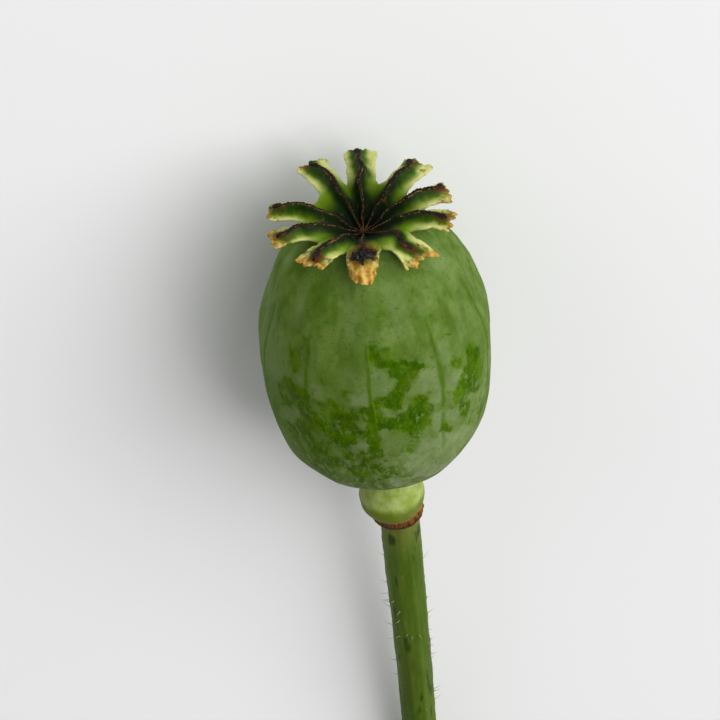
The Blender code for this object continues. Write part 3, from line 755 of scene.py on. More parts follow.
def disc_z(radius, lobe):
    """Height of the disc along the middle of a lobe, without its keel.

    It is dished as far as the notches, and rises by BLADE_RISE past them, besides the tip's lift.
    """
    outer = smooth_step(NOTCH_RADIUS, NOTCH_RADIUS + BLADE_RISE_LENGTH, radius)
    rise = DISC_RISE * dished(radius / NOTCH_RADIUS)
    return DISC_CENTRE_Z + rise + BLADE_RISE * outer + tip_lift(radius, lobe)


def disc_fall(radius, lobe):
    """How far the surface falls from the middle of a lobe to its edge."""
    inside = smooth_step(0.3 * NOTCH_RADIUS, NOTCH_RADIUS, radius)
    return inside * (0.6 - 0.25 * blade_share(radius, lobe)) * MM


def ray_half(radius, lobe):
    """Half the width of a stigma ray, thin near the centre and thick past the notches."""
    share = smooth_step(2.0 * MM, CREST_PEAK_RADIUS, radius)
    return RAY_RADIUS_INSIDE + (RAY_RADIUS_OUTSIDE * lobe.ray - RAY_RADIUS_INSIDE) * share


def crest_z(radius, lobe):
    """Height of the middle of a stigma ray: a curved rise, a slow fall, and never down in the disc."""
    past = np.maximum(radius - CREST_PEAK_RADIUS, 0.0) / CREST_DROP_LENGTH
    rise = lobe.keel_rise * dished(radius / CREST_PEAK_RADIUS)
    top = CREST_CENTRE_Z + rise - CREST_DROP * past * past + tip_lift(radius, lobe)
    return np.maximum(top, disc_z(radius, lobe) + 0.6 * MM) - ray_half(radius, lobe) * 0.7


def ray_side(radius, lobe):
    """How far a ray wanders sideways: slow waves, and a hook at its end."""
    seed = lobe_seed(lobe)
    wander = 0.16 * MM * waves(radius[..., None], 5 * MM, seed, 6)
    wander = wander + 0.035 * MM * waves(radius[..., None], 1.7 * MM, seed + 1, 6)
    hook = lobe.hook * smooth_step(lobe.keel_end - 2.0 * MM, lobe.keel_end, radius) ** 2
    return wander * smooth_step(0.5 * MM, 3 * MM, radius) + hook


def lobe_grid(lobe, across, radius, seed):
    """Points of a lobe's top and underside, and their values, on a grid of radius by across.

    Inside the notches the lobe is a sector of the disc. Past them it is a blade whose half width is
    its share of the usual plus a flare that grows with the square of the way to the tip, less where
    the corners are cut back more, with waves along its sides and teeth at its tip. The top is the
    disc's height less the fall times across^2, raised to the ray where the keel is: 1 / (1 +
    (distance / half width)^5). Its margins are lifted by 0.28 mm, or less where dry. Along a dry tip
    runs a ridge of exp(-d^2), d in shares of 0.3 mm, less half of one three times as wide, and waves
    2.2 and 0.9 mm long crinkle the blade.
    """
    low, high = lobe_halves(lobe)
    half = np.where(across < 0, low, high)
    inside = np.minimum(radius, NOTCH_RADIUS)
    along = inside * np.cos(across * half)
    sideways = inside * np.sin(across * half)
    share = blade_share(radius, lobe)
    blend = smooth_step(0.0, NOTCH_ROUNDING, radius - NOTCH_RADIUS)
    start = NOTCH_RADIUS * np.sin(half)
    flare = BLADE_FLARE * (1 - lobe.corners / (1.5 * MM))
    width = lobe.width * (BLADE_HALF_WIDTH + flare * share * share)
    edge_key = stacked(radius, np.sign(across) * 40 * MM)
    ripple = 0.13 * waves(edge_key, 4.5 * MM, seed, 6) + 0.05 * waves(edge_key, 1.3 * MM, seed + 1, 6)
    width = width + MM * ripple * smooth_step(0.1, 0.4, share) * np.abs(across) ** 3
    tip_key = stacked(across * width, 0 * radius)
    teeth = np.abs(waves(tip_key, 2.3 * MM, seed + 2, 6)) * 0.42
    teeth = teeth + 0.2 * waves(tip_key, 0.9 * MM, seed + 3, 6)
    teeth = (teeth - 0.35) * (0.45 + 0.75 * lobe.dry) * MM
    teeth = teeth + lobe.tooth * np.exp(-(((across - lobe.tooth_at) / 0.28) ** 2))
    teeth = teeth - lobe.corners * np.abs(across) ** 3
    beyond = radius > NOTCH_RADIUS
    sideways = np.where(beyond, across * (start + (width - start) * blend), sideways)
    grow = teeth * smooth_step(0.55, 1.0, share)
    along = np.where(beyond, along + (radius - NOTCH_RADIUS) + (inside - along) * share + grow, along)
    x, y = lobe_xy(lobe, along, sideways)

    blade = disc_z(radius, lobe) - disc_fall(radius, lobe) * across * across
    margin = smooth_step(0.55, 1.0, np.abs(across)) * smooth_step(0.0, 0.5, share)
    curl = 0.28 * MM * (1 - 1.6 * lobe.dry * smooth_step(0.6, 1.0, share))
    blade = blade + curl * margin
    dry_share = smooth_step(0.55, 0.95, share) * lobe.dry
    crease = np.exp(-((sideways / (0.3 * MM)) ** 2)) - 0.5 * np.exp(-((sideways / (0.9 * MM)) ** 2))
    blade = blade + 0.14 * MM * crease * dry_share
    wrinkle = stacked(x, y)
    crinkle = 0.06 * waves(wrinkle, 2.2 * MM, seed + 4) + 0.05 * waves(wrinkle, 0.9 * MM, seed + 5)
    blade = blade + MM * crinkle * (0.15 + 0.6 * dry_share) * smooth_step(6 * MM, 9 * MM, radius)
    middle = ray_side(radius, lobe)
    narrow = np.minimum(1.0, KEEL_START + (1 - KEEL_START) * radius / NOTCH_RADIUS)
    wall = (1 - across**6) / (1 + (np.abs(sideways - middle) / (KEEL_HALF_WIDTH * narrow)) ** 5)
    wall = wall * (1 - smooth_step(lobe.keel_end - 0.2 * MM, lobe.keel_end + KEEL_END_LENGTH, radius))
    top = blade + (crest_z(radius, lobe) - blade) * wall
    thin = 1 - 0.4 * np.abs(across) ** 4 * smooth_step(0, 0.3, share)
    shrink = smooth_step(0.0, NOTCH_RADIUS, radius)
    thickness = DISC_THICKNESS + (BLADE_THICKNESS - DISC_THICKNESS) * shrink
    under = blade - thickness * thin * (1 - 0.35 * smooth_step(0.8, 1.0, share))
    upper = stacked(x, y, top)
    lower = stacked(x, y, under)
    from_end = (radius - lobe.keel_end) / (2.4 * MM)
    from_ray = (sideways - middle) / (1.5 * MM)
    values = {
        "wall": wall,
        "margin": np.abs(sideways - middle) / MM,
        "reach": radius / MM + 0 * across,
        "dry": lobe.dry + 0 * wall,
        "tip": share + grow / MM * 0.12,
        "soaked": np.exp(-(((radius - CLOT_AT) / (1.7 * MM)) ** 2 + across**4)) * (lobe.corners > MM),
        "ray_end": np.exp(-(from_end**2) - from_ray**2) * smooth_step(0.3, 0.7, lobe.dry),
    }
    return upper, lower, values


def rim_between(upper, lower, rows):
    """A rounded rim along the free edge of a lobe, from one notch round the tip to the other.

    Three rows: the top's edge, a middle row pushed outwards by RIM_BULGE, and the underside's edge. Its two
    ends lie on the lines that the neighbours share, so they are pushed straight out from the axis.
    """
    top, bottom = free_edge(upper, rows), free_edge(lower, rows)
    middle = (top + bottom) / 2
    step = np.gradient(middle, axis=0)
    out = stacked(step[:, 1], -step[:, 0], 0.0)
    centre = middle.mean(0)
    out /= np.linalg.norm(out, axis=1, keepdims=True)
    out *= np.sign(((middle - centre) * out).sum(1).mean())
    for end in (0, -1):
        radial = middle[end] * np.array((1.0, 1.0, 0.0))
        out[end] = radial / np.linalg.norm(radial)
    middle = middle + RIM_BULGE * out
    return np.stack((top, middle, bottom))


def make_crown(material):
    """Ten lobes merged along their seams inside the notches."""
    columns = np.linspace(-1, 1, 45)[None]
    across = np.sign(columns) * np.abs(columns) ** 1.15
    shell = Shell("wall", "margin", "reach", "dry", "tip", "soaked", "ray_end", "under")
    inner = 22
    for lobe in LOBES:
        inside = NOTCH_RADIUS * np.linspace(0, 1, inner) ** 0.9
        outside = NOTCH_RADIUS + (lobe.reach - NOTCH_RADIUS) * np.linspace(0, 1, 42)[1:]
        radius = np.concatenate((inside, outside))[:, None]
        upper, lower, values = lobe_grid(lobe, across, radius, 50 + lobe_seed(lobe))
        shell.add(upper, **values)
        shell.add(lower, under=1.0, **values)
        rim = rim_between(upper, lower, inner - 1)
        loop = {name: free_edge(value, inner - 1) for name, value in values.items()}
        shell.add(rim, under=np.array((0.0, 0.5, 1.0))[:, None], **loop)
    shell.finish("crown_lobes", material, "crown_skin", "crown")


def crown_finish(wire):
    """Dark green keels and centre, partly their own colour and partly painted shade that deepens to near
    black in the sunken centre, yellow-green blades with pale margins, and dry tan tips.

    Brown stains lie round the ends of the rays on the dry lobes and where sap soaked in.
    """
    wall = wire.value("wall")
    reach = wire.value("reach")
    away = wire.value("margin") + (wire.noise(1.6, 3.0, 0.55) - 0.5) * 0.7
    outer = reach.step(8.0, 12.0)
    pale = away.step(1.05, 2.3) * outer
    # Dark green beside the rays: partly the tissue's own colour, partly painted shade on the keel walls.
    ray_tone_and_shade = wire.mix(reach.step(8.0, 14.5), (8, 30, 0), (30, 66, 0))
    green = wire.mix(away.step(0.5, 2.0) * reach.step(4.5, 9.5), ray_tone_and_shade, (98, 130, 4))
    green = wire.mix(pale, green, (198, 200, 124))
    # Near black at the sunken centre: painted shade in the hollow.
    green = wire.mix((1 - reach.step(1.0, 8.0)) * 0.97, green, (1, 8, 0))
    cloud = wire.noise(1.3, 3.0, 0.6)
    start = 1.35 - wire.value("dry") * 0.95
    drying = wire.value("tip") + (cloud - 0.5) * 0.7 - start
    tan = wire.mix(wire.noise(1.1, 3.0, 0.6).step(0.35, 0.65), (150, 104, 26), (202, 164, 78))
    crease = 1 - wire.value("margin").step(0.1, 0.6)
    tan = wire.mix(crease * 0.5, tan, (220, 188, 110))
    tint = wire.mix(drying.step(-0.06, 0.3), green, tan)
    stain = drying.step(-0.2, 0.0) * (1 - drying.step(0.1, 0.3)) * cloud.step(0.45, 0.62)
    tint = wire.mix(stain * 0.7, tint, (98, 58, 14))
    ends = (wire.value("ray_end") + (cloud - 0.5) * 1.5).step(0.35, 0.8)
    tint = wire.mix(ends * 0.75, tint, (74, 38, 10))
    soaked = wire.value("soaked") + (cloud - 0.5) * 1.3
    tint = wire.mix(soaked.step(0.1, 0.45) * 0.7, tint, (104, 74, 14))
    tint = wire.mix(soaked.step(0.35, 0.8), tint, (34, 15, 3))
    smear = wall.step(0.2, 0.8) * reach.step(10.0, 13.0) * wire.noise(1.1, 2.0, 0.5).step(0.42, 0.6)
    tint = wire.mix(smear * (wire.value("dry") * 0.7 + 0.25), tint, (66, 36, 8))
    tint = wire.mix(wire.value("under") * 0.5, tint, (128, 146, 62))
    roughness = 0.46 + drying.step(0.0, 0.3) * 0.2 + (1 - reach.step(5.0, 10.0)) * 0.3
    fibre = wire.noise(0.5, 3.0, 0.6)
    relief = fibre * 0.05 + wire.noise(0.18, 2.0, 0.6) * 0.02
    return tint, roughness, relief


def ray_path(lobe, count):
    """The middle line of a ray: out along the crest, then a quarter turn down the keel's end."""
    bend = 0.55 * MM
    end = lobe.keel_end - 0.1 * MM
    radius = np.linspace(0.15 * MM, end, count)
    height = crest_z(radius, lobe)
    angle = np.linspace(0, 0.5 * math.pi, 14)[1:]
    radius = np.concatenate((radius, end + bend * np.sin(angle)))
    height = np.concatenate((height, height[-1] - bend * (1 - np.cos(angle))))
    side = ray_side(np.minimum(radius, end), lobe)
    x, y = lobe_xy(lobe, radius, side)
    return stacked(x, y, height), radius


def add_ray(shell, lobe):
    """A crumbly ribbon along a crest: an oval 0.7 times as high as wide, with ragged edges.

    The groove along its top is exp(-(cos(angle) / 0.4)^2), and the crumbs are waves 0.55 and 0.28 mm long.
    """
    path, radius = ray_path(lobe, 150)
    seed = 400 + lobe_seed(lobe)
    end = smooth_step(lobe.keel_end - 1.4 * MM, lobe.keel_end - 0.5 * MM, radius)
    tail = np.arange(len(path))[::-1] / 10
    bulb = (1 + 0.45 * end) * np.sqrt(np.clip(tail, 0.12, 1))
    half = ray_half(radius, lobe) * bulb

    def section(angle):
        key = stacked(radius[:, None] * 2.2, angle * 0.45 * MM)
        ragged = 1 + 0.16 * waves(key, 1.2 * MM, seed, 14)
        sideways = half[:, None] * np.cos(angle) * ragged
        upward = half[:, None] * 0.7 * np.sin(angle) * ragged
        groove = np.exp(-((np.cos(angle) / 0.4) ** 2)) * (np.sin(angle) > 0)
        upward = upward - 0.22 * half[:, None] * groove * (1 - end[:, None])
        return sideways, upward

    rings = tube(path, RAY_SIDES, section)
    crumbs = waves(rings, 0.55 * MM, seed + 1, 16) * 0.022 + waves(rings, 0.28 * MM, seed + 2, 16) * 0.022
    rings = rings + crumbs[..., None] * MM * np.array((0.6, 0.6, 1.0))
    rings[0] = rings[0].mean(0)
    rings[-1] = rings[-1].mean(0)
    angle = np.linspace(0, TAU, RAY_SIDES, endpoint=False)[None]
    padded = np.concatenate((radius[:1], radius, radius[-1:]))[:, None]
    edge = smooth_step(0.55, 0.9, np.abs(np.cos(angle)))
    shell.add(
        rings,
        join_columns=True,
        edge=edge * (1 - 0.6 * smooth_step(0.75, 1.0, padded / lobe.keel_end)),
        outer=padded / lobe.keel_end + 0 * angle,
        red=smooth_step(0.5, 1.0, lobe.dry) + 0 * rings[..., 0],
    )


def add_clot(shell, lobe, centre, half_length, half_width, lift, seed):
    """A glossy clot of dried sap on a lobe: a dome of height lift times the root of 1 - share^2.

    Its height is lumpy with waves 1.4 and 0.6 mm long, and its outline with sines of 3, 5 and 11 angles.
    """
    share = np.linspace(0, 1, 26)[:, None]
    angle = np.linspace(0, TAU, 64, endpoint=False)[None]
    outline = 1 + 0.12 * np.sin(3 * angle + seed) + 0.09 * np.sin(5 * angle + 2 * seed)
    outline = outline + 0.05 * np.sin(11 * angle)
    radius = centre + half_length * share * np.cos(angle) * outline
    sideways = half_width * share * np.sin(angle) * outline
    across = np.clip(sideways / (BLADE_HALF_WIDTH * lobe.width), -1, 1)
    blade = disc_z(radius, lobe) - disc_fall(radius, lobe) * across**2
    place = stacked(radius, sideways)
    lumps = 1 + 0.3 * waves(place, 1.4 * MM, seed, 10) + 0.22 * waves(place, 0.6 * MM, seed + 1, 14)
    top = blade + lift * np.sqrt(np.clip(1 - share**2, 0, 1)) * lumps - 0.05 * MM
    bottom = blade - 0.25 * MM + 0 * lumps
    x, y = lobe_xy(lobe, radius, sideways)
    upper = stacked(x, y, top)
    lower = stacked(x, y, bottom)[::-1]
    shell.add(np.concatenate((upper, lower)), join_columns=True, outer=1.0, clot=1.0)


def make_rays(material):
    """Ten rays, a rough round hub where they meet, and two clots at the end of the front one."""
    shell = Shell("edge", "outer", "red", "clot")
    for lobe in LOBES:
        add_ray(shell, lobe)
    share = np.linspace(0, math.pi, 14)[:, None]
    turn = np.linspace(0, TAU, 28, endpoint=False)[None]
    hub = round_axis(0.85 * MM * np.sin(share), turn, CREST_CENTRE_Z - 0.3 * MM + 0.34 * MM * np.cos(share))
    hub = hub * (1 + 0.004 * waves(hub, 0.8 * MM, 7)[..., None])
    shell.add(hub, join_columns=True, edge=0.4, outer=0.1)
    front = LOBES[0]
    add_clot(shell, front, CLOT_AT, half_length=1.3 * MM, half_width=1.85 * MM, lift=0.45 * MM, seed=3)
    drip = CLOT_AT + 1.6 * MM
    add_clot(shell, front, drip, half_length=1.0 * MM, half_width=0.3 * MM, lift=0.22 * MM, seed=5)
    shell.finish("stigma_ray_lines", material, "stigma_tissue", "stigma_rays")


def ray_finish(wire):
    """Near-black brown, redder towards the dry lobes, with golden-tan crumbs along the edges."""
    crumb = wire.noise(0.45, 3.0, 0.65)
    outer = wire.value("outer")
    dark = wire.mix(wire.noise(0.9, 2.0, 0.5).step(0.4, 0.6), (10, 3, 2), (34, 13, 5))
    brown = wire.mix(crumb.step(0.42, 0.6), (12, 5, 1), (44, 20, 5))
    tint = wire.mix(outer.step(0.3, 0.7), brown, dark)
    tint = wire.mix(wire.value("red") * 0.3 * crumb.step(0.45, 0.6), tint, (96, 48, 18))
    gold = wire.value("edge") * (crumb + wire.noise(1.4) - 1.0).step(-0.05, 0.12)
    tint = wire.mix(gold * 0.75, tint, (140, 100, 40))
    sap = wire.mix(crumb.step(0.45, 0.6), (6, 2, 2), (30, 11, 5))
    tint = wire.mix(wire.value("clot"), tint, sap)
    roughness = 0.7 - wire.value("clot") * 0.56 + crumb * 0.1 - outer.step(0.6, 1.0) * 0.16
    relief = (crumb * 0.12 + wire.noise(0.16, 2.0, 0.6) * 0.05) * (1 - wire.value("clot") * 0.85)
    return tint, roughness, relief


def make_receptacle(material):
    """The swollen end of the stalk: its outline turned, with faint furrows and soft dents.

    The furrows are 0.035 mm times cos(11 turn), and the dents waves 7 and 1.6 mm long.
    """
    outline = curve_through(RECEPTACLE_PROFILE, 90)
    turn = np.linspace(0, TAU, 128, endpoint=False)[None]
    radius, height = outline[:, :1], outline[:, 1:]
    smooth = round_axis(radius, turn, height)
    swell = 0.035 * MM * np.cos(11 * turn) + 0.06 * MM * waves(smooth, 7 * MM, 21)
    swell = (swell + 0.02 * MM * waves(smooth, 1.6 * MM, 22)) * smooth_step(1 * MM, 4 * MM, radius)
    shell = Shell()
    shell.add(round_axis(radius + swell, turn, height), join_columns=True)
    shell.finish("receptacle_swelling", material, "receptacle_skin", "receptacle")


def receptacle_finish(wire):
    """Pale yellow-green, greyer and darker to one side with grey bloom and painted shade, faint streaks and
    an olive lower band.
    """
    x = wire.own_axis(0)
    height = wire.own_axis(2)
    cloud = wire.noise(2.6, 3.0, 0.55)
    tint = wire.mix(cloud.step(0.36, 0.62), (138, 156, 66), (162, 178, 104))
    # Greyer and darker to the left: grey bloom, and painted shade on the side away from the light.
    tint = wire.mix((1 - (x + cloud * 3).step(-5.5, 0.5)) * 0.7, tint, (122, 134, 66))
    streak = wire.noise(0.8, 3.0, 0.6, tall=0.25)
    tint = wire.mix(streak.step(0.55, 0.68) * 0.3, tint, (100, 126, 24))
    band = 1 - (height + cloud * 1.2 + streak * 0.8).step(-38.8, -37.2)
    tint = wire.mix(band * 0.85, tint, (94, 108, 6))
    edge = 1 - (height + streak * 0.6).step(-42.3, -42.0)
    tint = wire.mix(edge, tint, (152, 136, 30))
    shade = (height - cloud * 2.0).step(-34.0, -31.0)
    tint = wire.mix(shade * 0.5, tint, (104, 126, 48))
    roughness = 0.42 + cloud * 0.2
    relief = wire.noise(0.5, 3.0, 0.6) * 0.04 + streak * 0.05
    return tint, roughness, relief


def make_scar_ring(material):
    """A ragged rim: its outline carried round and then tilted, with fibres along its outer side.

    Its height is multiplied by 1 + 0.16 cos(turn + 0.2) and slow waves. The fibres are waves 3.5, 1.1
    and 0.4 mm long, which push the outer side out, and up by 0.6 times as much.
    """
    outline = curve_through(RING_PROFILE, 34, closed=True)[:, None]
    turn = np.linspace(0, TAU, 340, endpoint=False)[None]
    key = stacked(np.cos(turn), np.sin(turn))
    thick = 1 + 0.16 * np.cos(turn + 0.2) + 0.08 * waves(key, 0.5, 31, 10)
    radius = outline[..., 0]
    height = outline[..., 1] * thick
    smooth = round_axis(radius, turn, height)
    rag = 0.05 * waves(smooth, 1.1 * MM, 32) + 0.03 * waves(smooth * np.array((1, 1, 0.25)), 0.4 * MM, 33)
    rag = rag + 0.1 * waves(smooth, 3.5 * MM, 35)
    outer = smooth_step(4.0 * MM, 4.6 * MM, radius)
    points = round_axis(radius + rag * MM * outer, turn, height + 0.6 * rag * MM * outer)
    sin, cos = math.sin(RING_TILT), math.cos(RING_TILT)
    x = points[..., 0] * cos + points[..., 2] * sin + RING_SHIFT
    z = points[..., 2] * cos - points[..., 0] * sin + RING_Z
    shell = Shell("level")
    shell.add(stacked(x, points[..., 1], z), join_rows=True, join_columns=True, level=height / MM)
    shell.finish("petal_scar", material, "scar_tissue", "scar_ring")


def scar_finish(wire):
    """Brown fibrous scar with a pinkish-tan upper edge and a darker lower one."""
    level = wire.value("level")
    fibre = wire.noise(0.35, 3.0, 0.65, tall=0.2)
    cloud = wire.noise(1.8, 3.0, 0.6)
    tint = wire.mix(fibre.step(0.36, 0.64), (70, 38, 4), (122, 78, 26))
    tint = wire.mix((1 - (level + cloud * 0.6).step(-0.35, 0.25)) * 0.6, tint, (42, 20, 2))
    light = (level + cloud * 0.9 + fibre * 0.4).step(1.1, 1.7)
    tint = wire.mix(light * 0.8, tint, (150, 108, 58))
    roughness = 0.55 + fibre * 0.3
    relief = fibre * 0.16 + wire.noise(0.2, 2.0, 0.6) * 0.05
    return tint, roughness, relief


def stem_line(share):
    """Places along the middle of the stem: straight, with bends that grow with the square of the way."""
    level = REST_SHIFT[2] + STEM_END_Z * math.sin(REST_TILT)
    drop = level / math.cos(REST_TILT) - STEM_RADIUS
    z = STEM_TOP_Z + (STEM_END_Z - STEM_TOP_Z) * share
    return stacked(STEM_TOP_SHIFT - STEM_BEND * share**2, drop * share**2, z)


def stem_radius(share):
    """From the top's radius to the stem's own over the taper's length."""
    way = (STEM_TOP_Z - STEM_END_Z) * share
    return STEM_TOP_RADIUS + (STEM_RADIUS - STEM_TOP_RADIUS) * smooth_step(0, STEM_TAPER_LENGTH, way)


def bristle_bases():
    """Shares along the stem and turns of the bristles, sparser towards the top, none on the floor side."""
    chance = np.random.default_rng(12)
    share = 0.16 + 0.82 * chance.random(BRISTLES) ** 0.8
    turn = chance.uniform(-math.pi, math.pi, BRISTLES)
    off_floor = (np.abs(turn) < 2.2) | (share < 0.6)
    return share[off_floor], turn[off_floor]


def make_stem(material):
    """A round stem with soft ridges, a bump under each bristle, and a cut end with a pith.

    Ridges: 0.055 mm times cos(9 turn) and 0.03 mm times cos(17 turn), which drift along the stem. A bump
    is 0.13 mm high and falls as exp(-d^2) from the bristle's base. A dark mark is exp(-a^2 - b^2), a its
    turn away in shares of 14 degrees, and b its height away in shares of 1.9 mm. The cut is rough with
    waves 0.7 mm long, and its middle stands out by 0.25 mm.
    """
    share = np.linspace(0, 1, 300)[:, None]
    turn = np.linspace(-math.pi, math.pi, STEM_SIDES, endpoint=False)[None]
    middle = stem_line(share[:, 0])[:, None]
    radius = stem_radius(share) + 0 * turn
    drift = 0.4 * share + 0.15 * np.sin(5 * share)
    ridges = 0.055 * np.cos(9 * (turn + drift)) + 0.03 * np.cos(17 * turn - 3 * share + 1)
    swell = ridges * smooth_step(0.0, 0.12, share)
    smooth = round_axis(radius, turn, 0 * radius) + middle
    swell = swell + 0.05 * waves(smooth * np.array((1, 1, 0.3)), 3 * MM, 41)
    swell = swell + 0.02 * waves(smooth, 1.5 * MM, 42)
    spot = np.zeros_like(radius)
    for at, facing in zip(*bristle_bases()):
        along = (share - at) * (STEM_TOP_Z - STEM_END_Z) / (0.42 * MM)
        apart = (turn - facing + math.pi) % TAU - math.pi
        spot += np.exp(-(along**2) - (apart * STEM_RADIUS / (0.3 * MM)) ** 2)
    swell = swell + 0.13 * spot
    mark = np.zeros_like(radius)
    for facing, level in STEM_MARKS:
        apart = np.degrees(turn) - facing
        mark += np.exp(-((apart / 14) ** 2) - ((smooth[..., 2] / MM - level) / 1.9) ** 2)
    points = round_axis(radius + swell * MM, turn, 0 * radius) + middle
    shrink = np.linspace(1, 0, 22)[1:, None]
    end = points[-1:] - middle[-1]
    cut = end * shrink[..., None]
    rough = waves(cut, 0.7 * MM, 43) * 0.05 - 0.25 * smooth_step(0.35, 0.0, shrink)
    cut[..., 2] += rough * MM * smooth_step(1.0, 0.8, shrink)
    cut = cut + middle[-1]
    top = (points[:1] - middle[0]) * np.linspace(0, 1, 6)[:-1, None, None] + middle[0]
    above, below = np.zeros(top.shape[:2]), np.zeros(cut.shape[:2])
    shell = Shell("spot", "mark", "cut", "core")
    shell.add(
        np.concatenate((top, points, cut)),
        join_columns=True,
        spot=np.concatenate((above, spot, below)),
        mark=np.concatenate((above, mark, below)),
        cut=np.concatenate((above, 0 * spot, below + 1)),
        core=np.concatenate((above + 1, 0 * spot + 1, below + shrink)),
    )
    shell.finish("stem_stalk", material, "stem_skin", "stem")


def stem_finish(wire):
    """Green with long soft streaks, dark marks under the scar, pale bristle bases and a pale cut."""
    height = wire.own_axis(2)
    streak = wire.noise(1.5, 3.0, 0.55, tall=0.09)
    cloud = wire.noise(5.0, 3.0, 0.6, tall=0.4)
    tint = wire.mix(streak.step(0.3, 0.7), (68, 90, 16), (86, 108, 34))
    tint = wire.mix(cloud.step(0.4, 0.65) * 0.5, tint, (66, 92, 20))
    upper = height.step(-56.0, -44.5)
    tint = wire.mix(upper * 0.55, tint, (118, 124, 58))
    mark = (wire.value("mark") + (streak - 0.5) * 1.2).step(0.25, 0.75)
    tint = wire.mix(mark * 0.8, tint, (40, 46, 4))
    dark = wire.noise(1.4, 2.0, 0.5, tall=0.2).step(0.62, 0.7)
    tint = wire.mix(dark * 0.7, tint, (34, 58, 2))
    spot = wire.value("spot")
    tint = wire.mix(spot.step(0.1, 0.5) * (1 - spot.step(0.5, 0.8)) * 0.5, tint, (62, 80, 14))
    tint = wire.mix(spot.step(0.5, 0.85) * 0.8, tint, (144, 154, 76))
    core = wire.value("core") + (wire.noise(0.5) - 0.5) * 0.12
    face = wire.mix(core.step(0.35, 0.8), (206, 212, 168), (150, 172, 92))
    bundle = wire.noise(0.45, 1.0, 0.5).step(0.52, 0.6) * core.step(0.6, 0.7) * (1 - core.step(0.82, 0.9))
    face = wire.mix(bundle * 0.7, face, (96, 124, 44))
    tint = wire.mix(wire.value("cut"), tint, face)
    roughness = 0.42 + cloud * 0.16
    relief = streak * 0.12 + wire.noise(0.35, 2.0, 0.6, tall=0.3) * 0.05
    return tint, roughness, relief


def make_bristles(material):
    """Curved cones on the stem, bent towards the crown.

    At a share t of its length a cone is BRISTLE_RADIUS times (1 - t)^0.8 thick, and leans by t^1.6.
    """
    share, turn = bristle_bases()
    chance = np.random.default_rng(13)
    length = chance.uniform(1.0, 2.4, len(share)) * MM
    lean = chance.uniform(0.1, 0.7, len(share))
    base = round_axis(stem_radius(share) - 0.1 * MM, turn, 0 * turn) + stem_line(share)
    out = round_axis(np.ones_like(turn), turn, 0 * turn)
    step = np.linspace(0, 1, 7)
    rise = length[:, None] * step
    bend = lean[:, None] * length[:, None] * step**1.6
    middle = base[:, None] + out[:, None] * rise[..., None]
    middle = middle + bend[..., None] * np.array((0.0, 0.0, 1.0))
    around = np.linspace(0, TAU, 6, endpoint=False)
    side = np.cross(out, np.array((0.0, 0.0, 1.0)))
    thick = BRISTLE_RADIUS * (1 - step) ** 0.8
    ring = np.cos(around)[:, None] * side[:, None] + np.sin(around)[:, None] * np.array((0, 0, 1.0))
    points = middle[:, :, None] + thick[None, :, None, None] * ring[:, None]
    shell = Shell("along")
    for one in points:
        if lay(one)[..., 2].min() > BRISTLE_FLOOR_GAP:
            closed = np.concatenate((one[:1].mean(1, keepdims=True).repeat(6, 1), one))
            along = np.concatenate(((0.0,), step))[:, None]
            shell.add(closed, join_columns=True, along=along)
    shell.finish("stem_bristles", material, "stem_skin")


def bristle_finish(wire):
    """Pale straw, greener at the base."""
    along = wire.value("along") + wire.noise(0.4) * 0.2
    tint = wire.mix(along.step(0.05, 0.5), (128, 138, 62), (172, 168, 118))
    return tint, along * 0.1 + 0.45, wire.noise(0.2) * 0.01


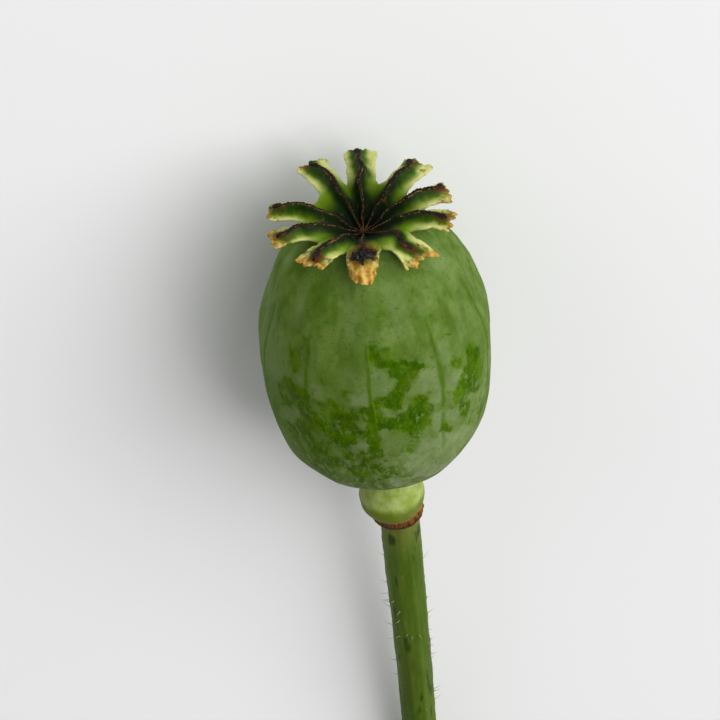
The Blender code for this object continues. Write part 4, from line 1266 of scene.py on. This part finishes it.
def make_stage():
    """A pale floor, and a pale room that lights the head less than it shows."""
    mesh = bpy.data.meshes.new("floor")
    corners = [(x * FLOOR_HALF, y * FLOOR_HALF, 0) for x, y in ((-1, -1), (1, -1), (1, 1), (-1, 1))]
    mesh.from_pydata(corners, [], [(0, 1, 2, 3)])
    floor = put("floor", mesh)
    pale = bpy.data.materials.new("pale_floor")
    pale.use_nodes = True
    inputs = pale.node_tree.nodes["Principled BSDF"].inputs
    inputs["Base Color"].default_value = (0.92, 0.92, 0.92, 1)
    inputs["Roughness"].default_value = 0.8
    inputs["Specular IOR Level"].default_value = 0.1
    mesh.materials.append(pale)
    world = bpy.data.worlds.new("pale_room")
    world.use_nodes = True
    wire = Wire(world.node_tree)
    seen = wire.node("LightPath", {}, {})
    glow = seen * (1.0 - ROOM_LIGHT) + ROOM_LIGHT
    inputs = world.node_tree.nodes["Background"].inputs
    world.node_tree.links.new(glow.socket, inputs["Strength"])
    inputs["Color"].default_value = (1.0, 1.0, 1.0, 1.0)
    bpy.context.scene.world = world


def soft_light(name, direction, distance, size, power):
    """A square lamp in the head's own direction, turned to the capsule."""
    lamp = bpy.data.lights.new(name, "AREA")
    lamp.size = size
    lamp.energy = power
    made = put(name, lamp)
    place = HEAD_PLACE @ (Vector(direction).normalized() * distance)
    made.location = place
    made.rotation_euler = (Vector(REST_SHIFT) - place).to_track_quat("-Z", "Y").to_euler()


def make_camera():
    """The viewpoint of the picture, laid down with the head."""
    lens = bpy.data.cameras.new("camera")
    lens.sensor_width = SENSOR_WIDTH
    lens.lens = CAMERA_FOCUS * SENSOR_WIDTH / PICTURE_SIDE
    lens.clip_start = 0.01
    camera = put("camera", lens)
    camera.matrix_world = HEAD_PLACE @ camera_frame()
    bpy.context.scene.camera = camera


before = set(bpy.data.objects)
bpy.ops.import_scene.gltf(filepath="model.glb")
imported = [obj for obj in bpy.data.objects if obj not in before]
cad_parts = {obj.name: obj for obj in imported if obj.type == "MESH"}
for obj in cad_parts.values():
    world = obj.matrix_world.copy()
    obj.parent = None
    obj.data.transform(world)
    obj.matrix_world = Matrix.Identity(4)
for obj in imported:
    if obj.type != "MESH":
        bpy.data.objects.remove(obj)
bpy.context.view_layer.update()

make_capsule(skin("capsule_skin_looks", capsule_finish, specular=0.01))
make_crown(skin("crown_skin_looks", crown_finish, specular=0.1))
make_rays(skin("stigma_tissue_looks", ray_finish, specular=0.2))
make_receptacle(skin("receptacle_skin_looks", receptacle_finish, specular=0.08))
make_scar_ring(skin("scar_tissue_looks", scar_finish, specular=0.15))
make_stem(skin("stem_skin_looks", stem_finish, specular=0.06))
make_bristles(skin("bristle_looks", bristle_finish))

make_stage()
make_camera()
soft_light("key", (0.95, -0.9, 0.7), distance=2.0, size=2.0, power=49.4)
soft_light("rim", (-0.9, -0.25, 0.8), distance=2.0, size=1.33, power=6.5)
bpy.context.scene.view_settings.view_transform = "Standard"
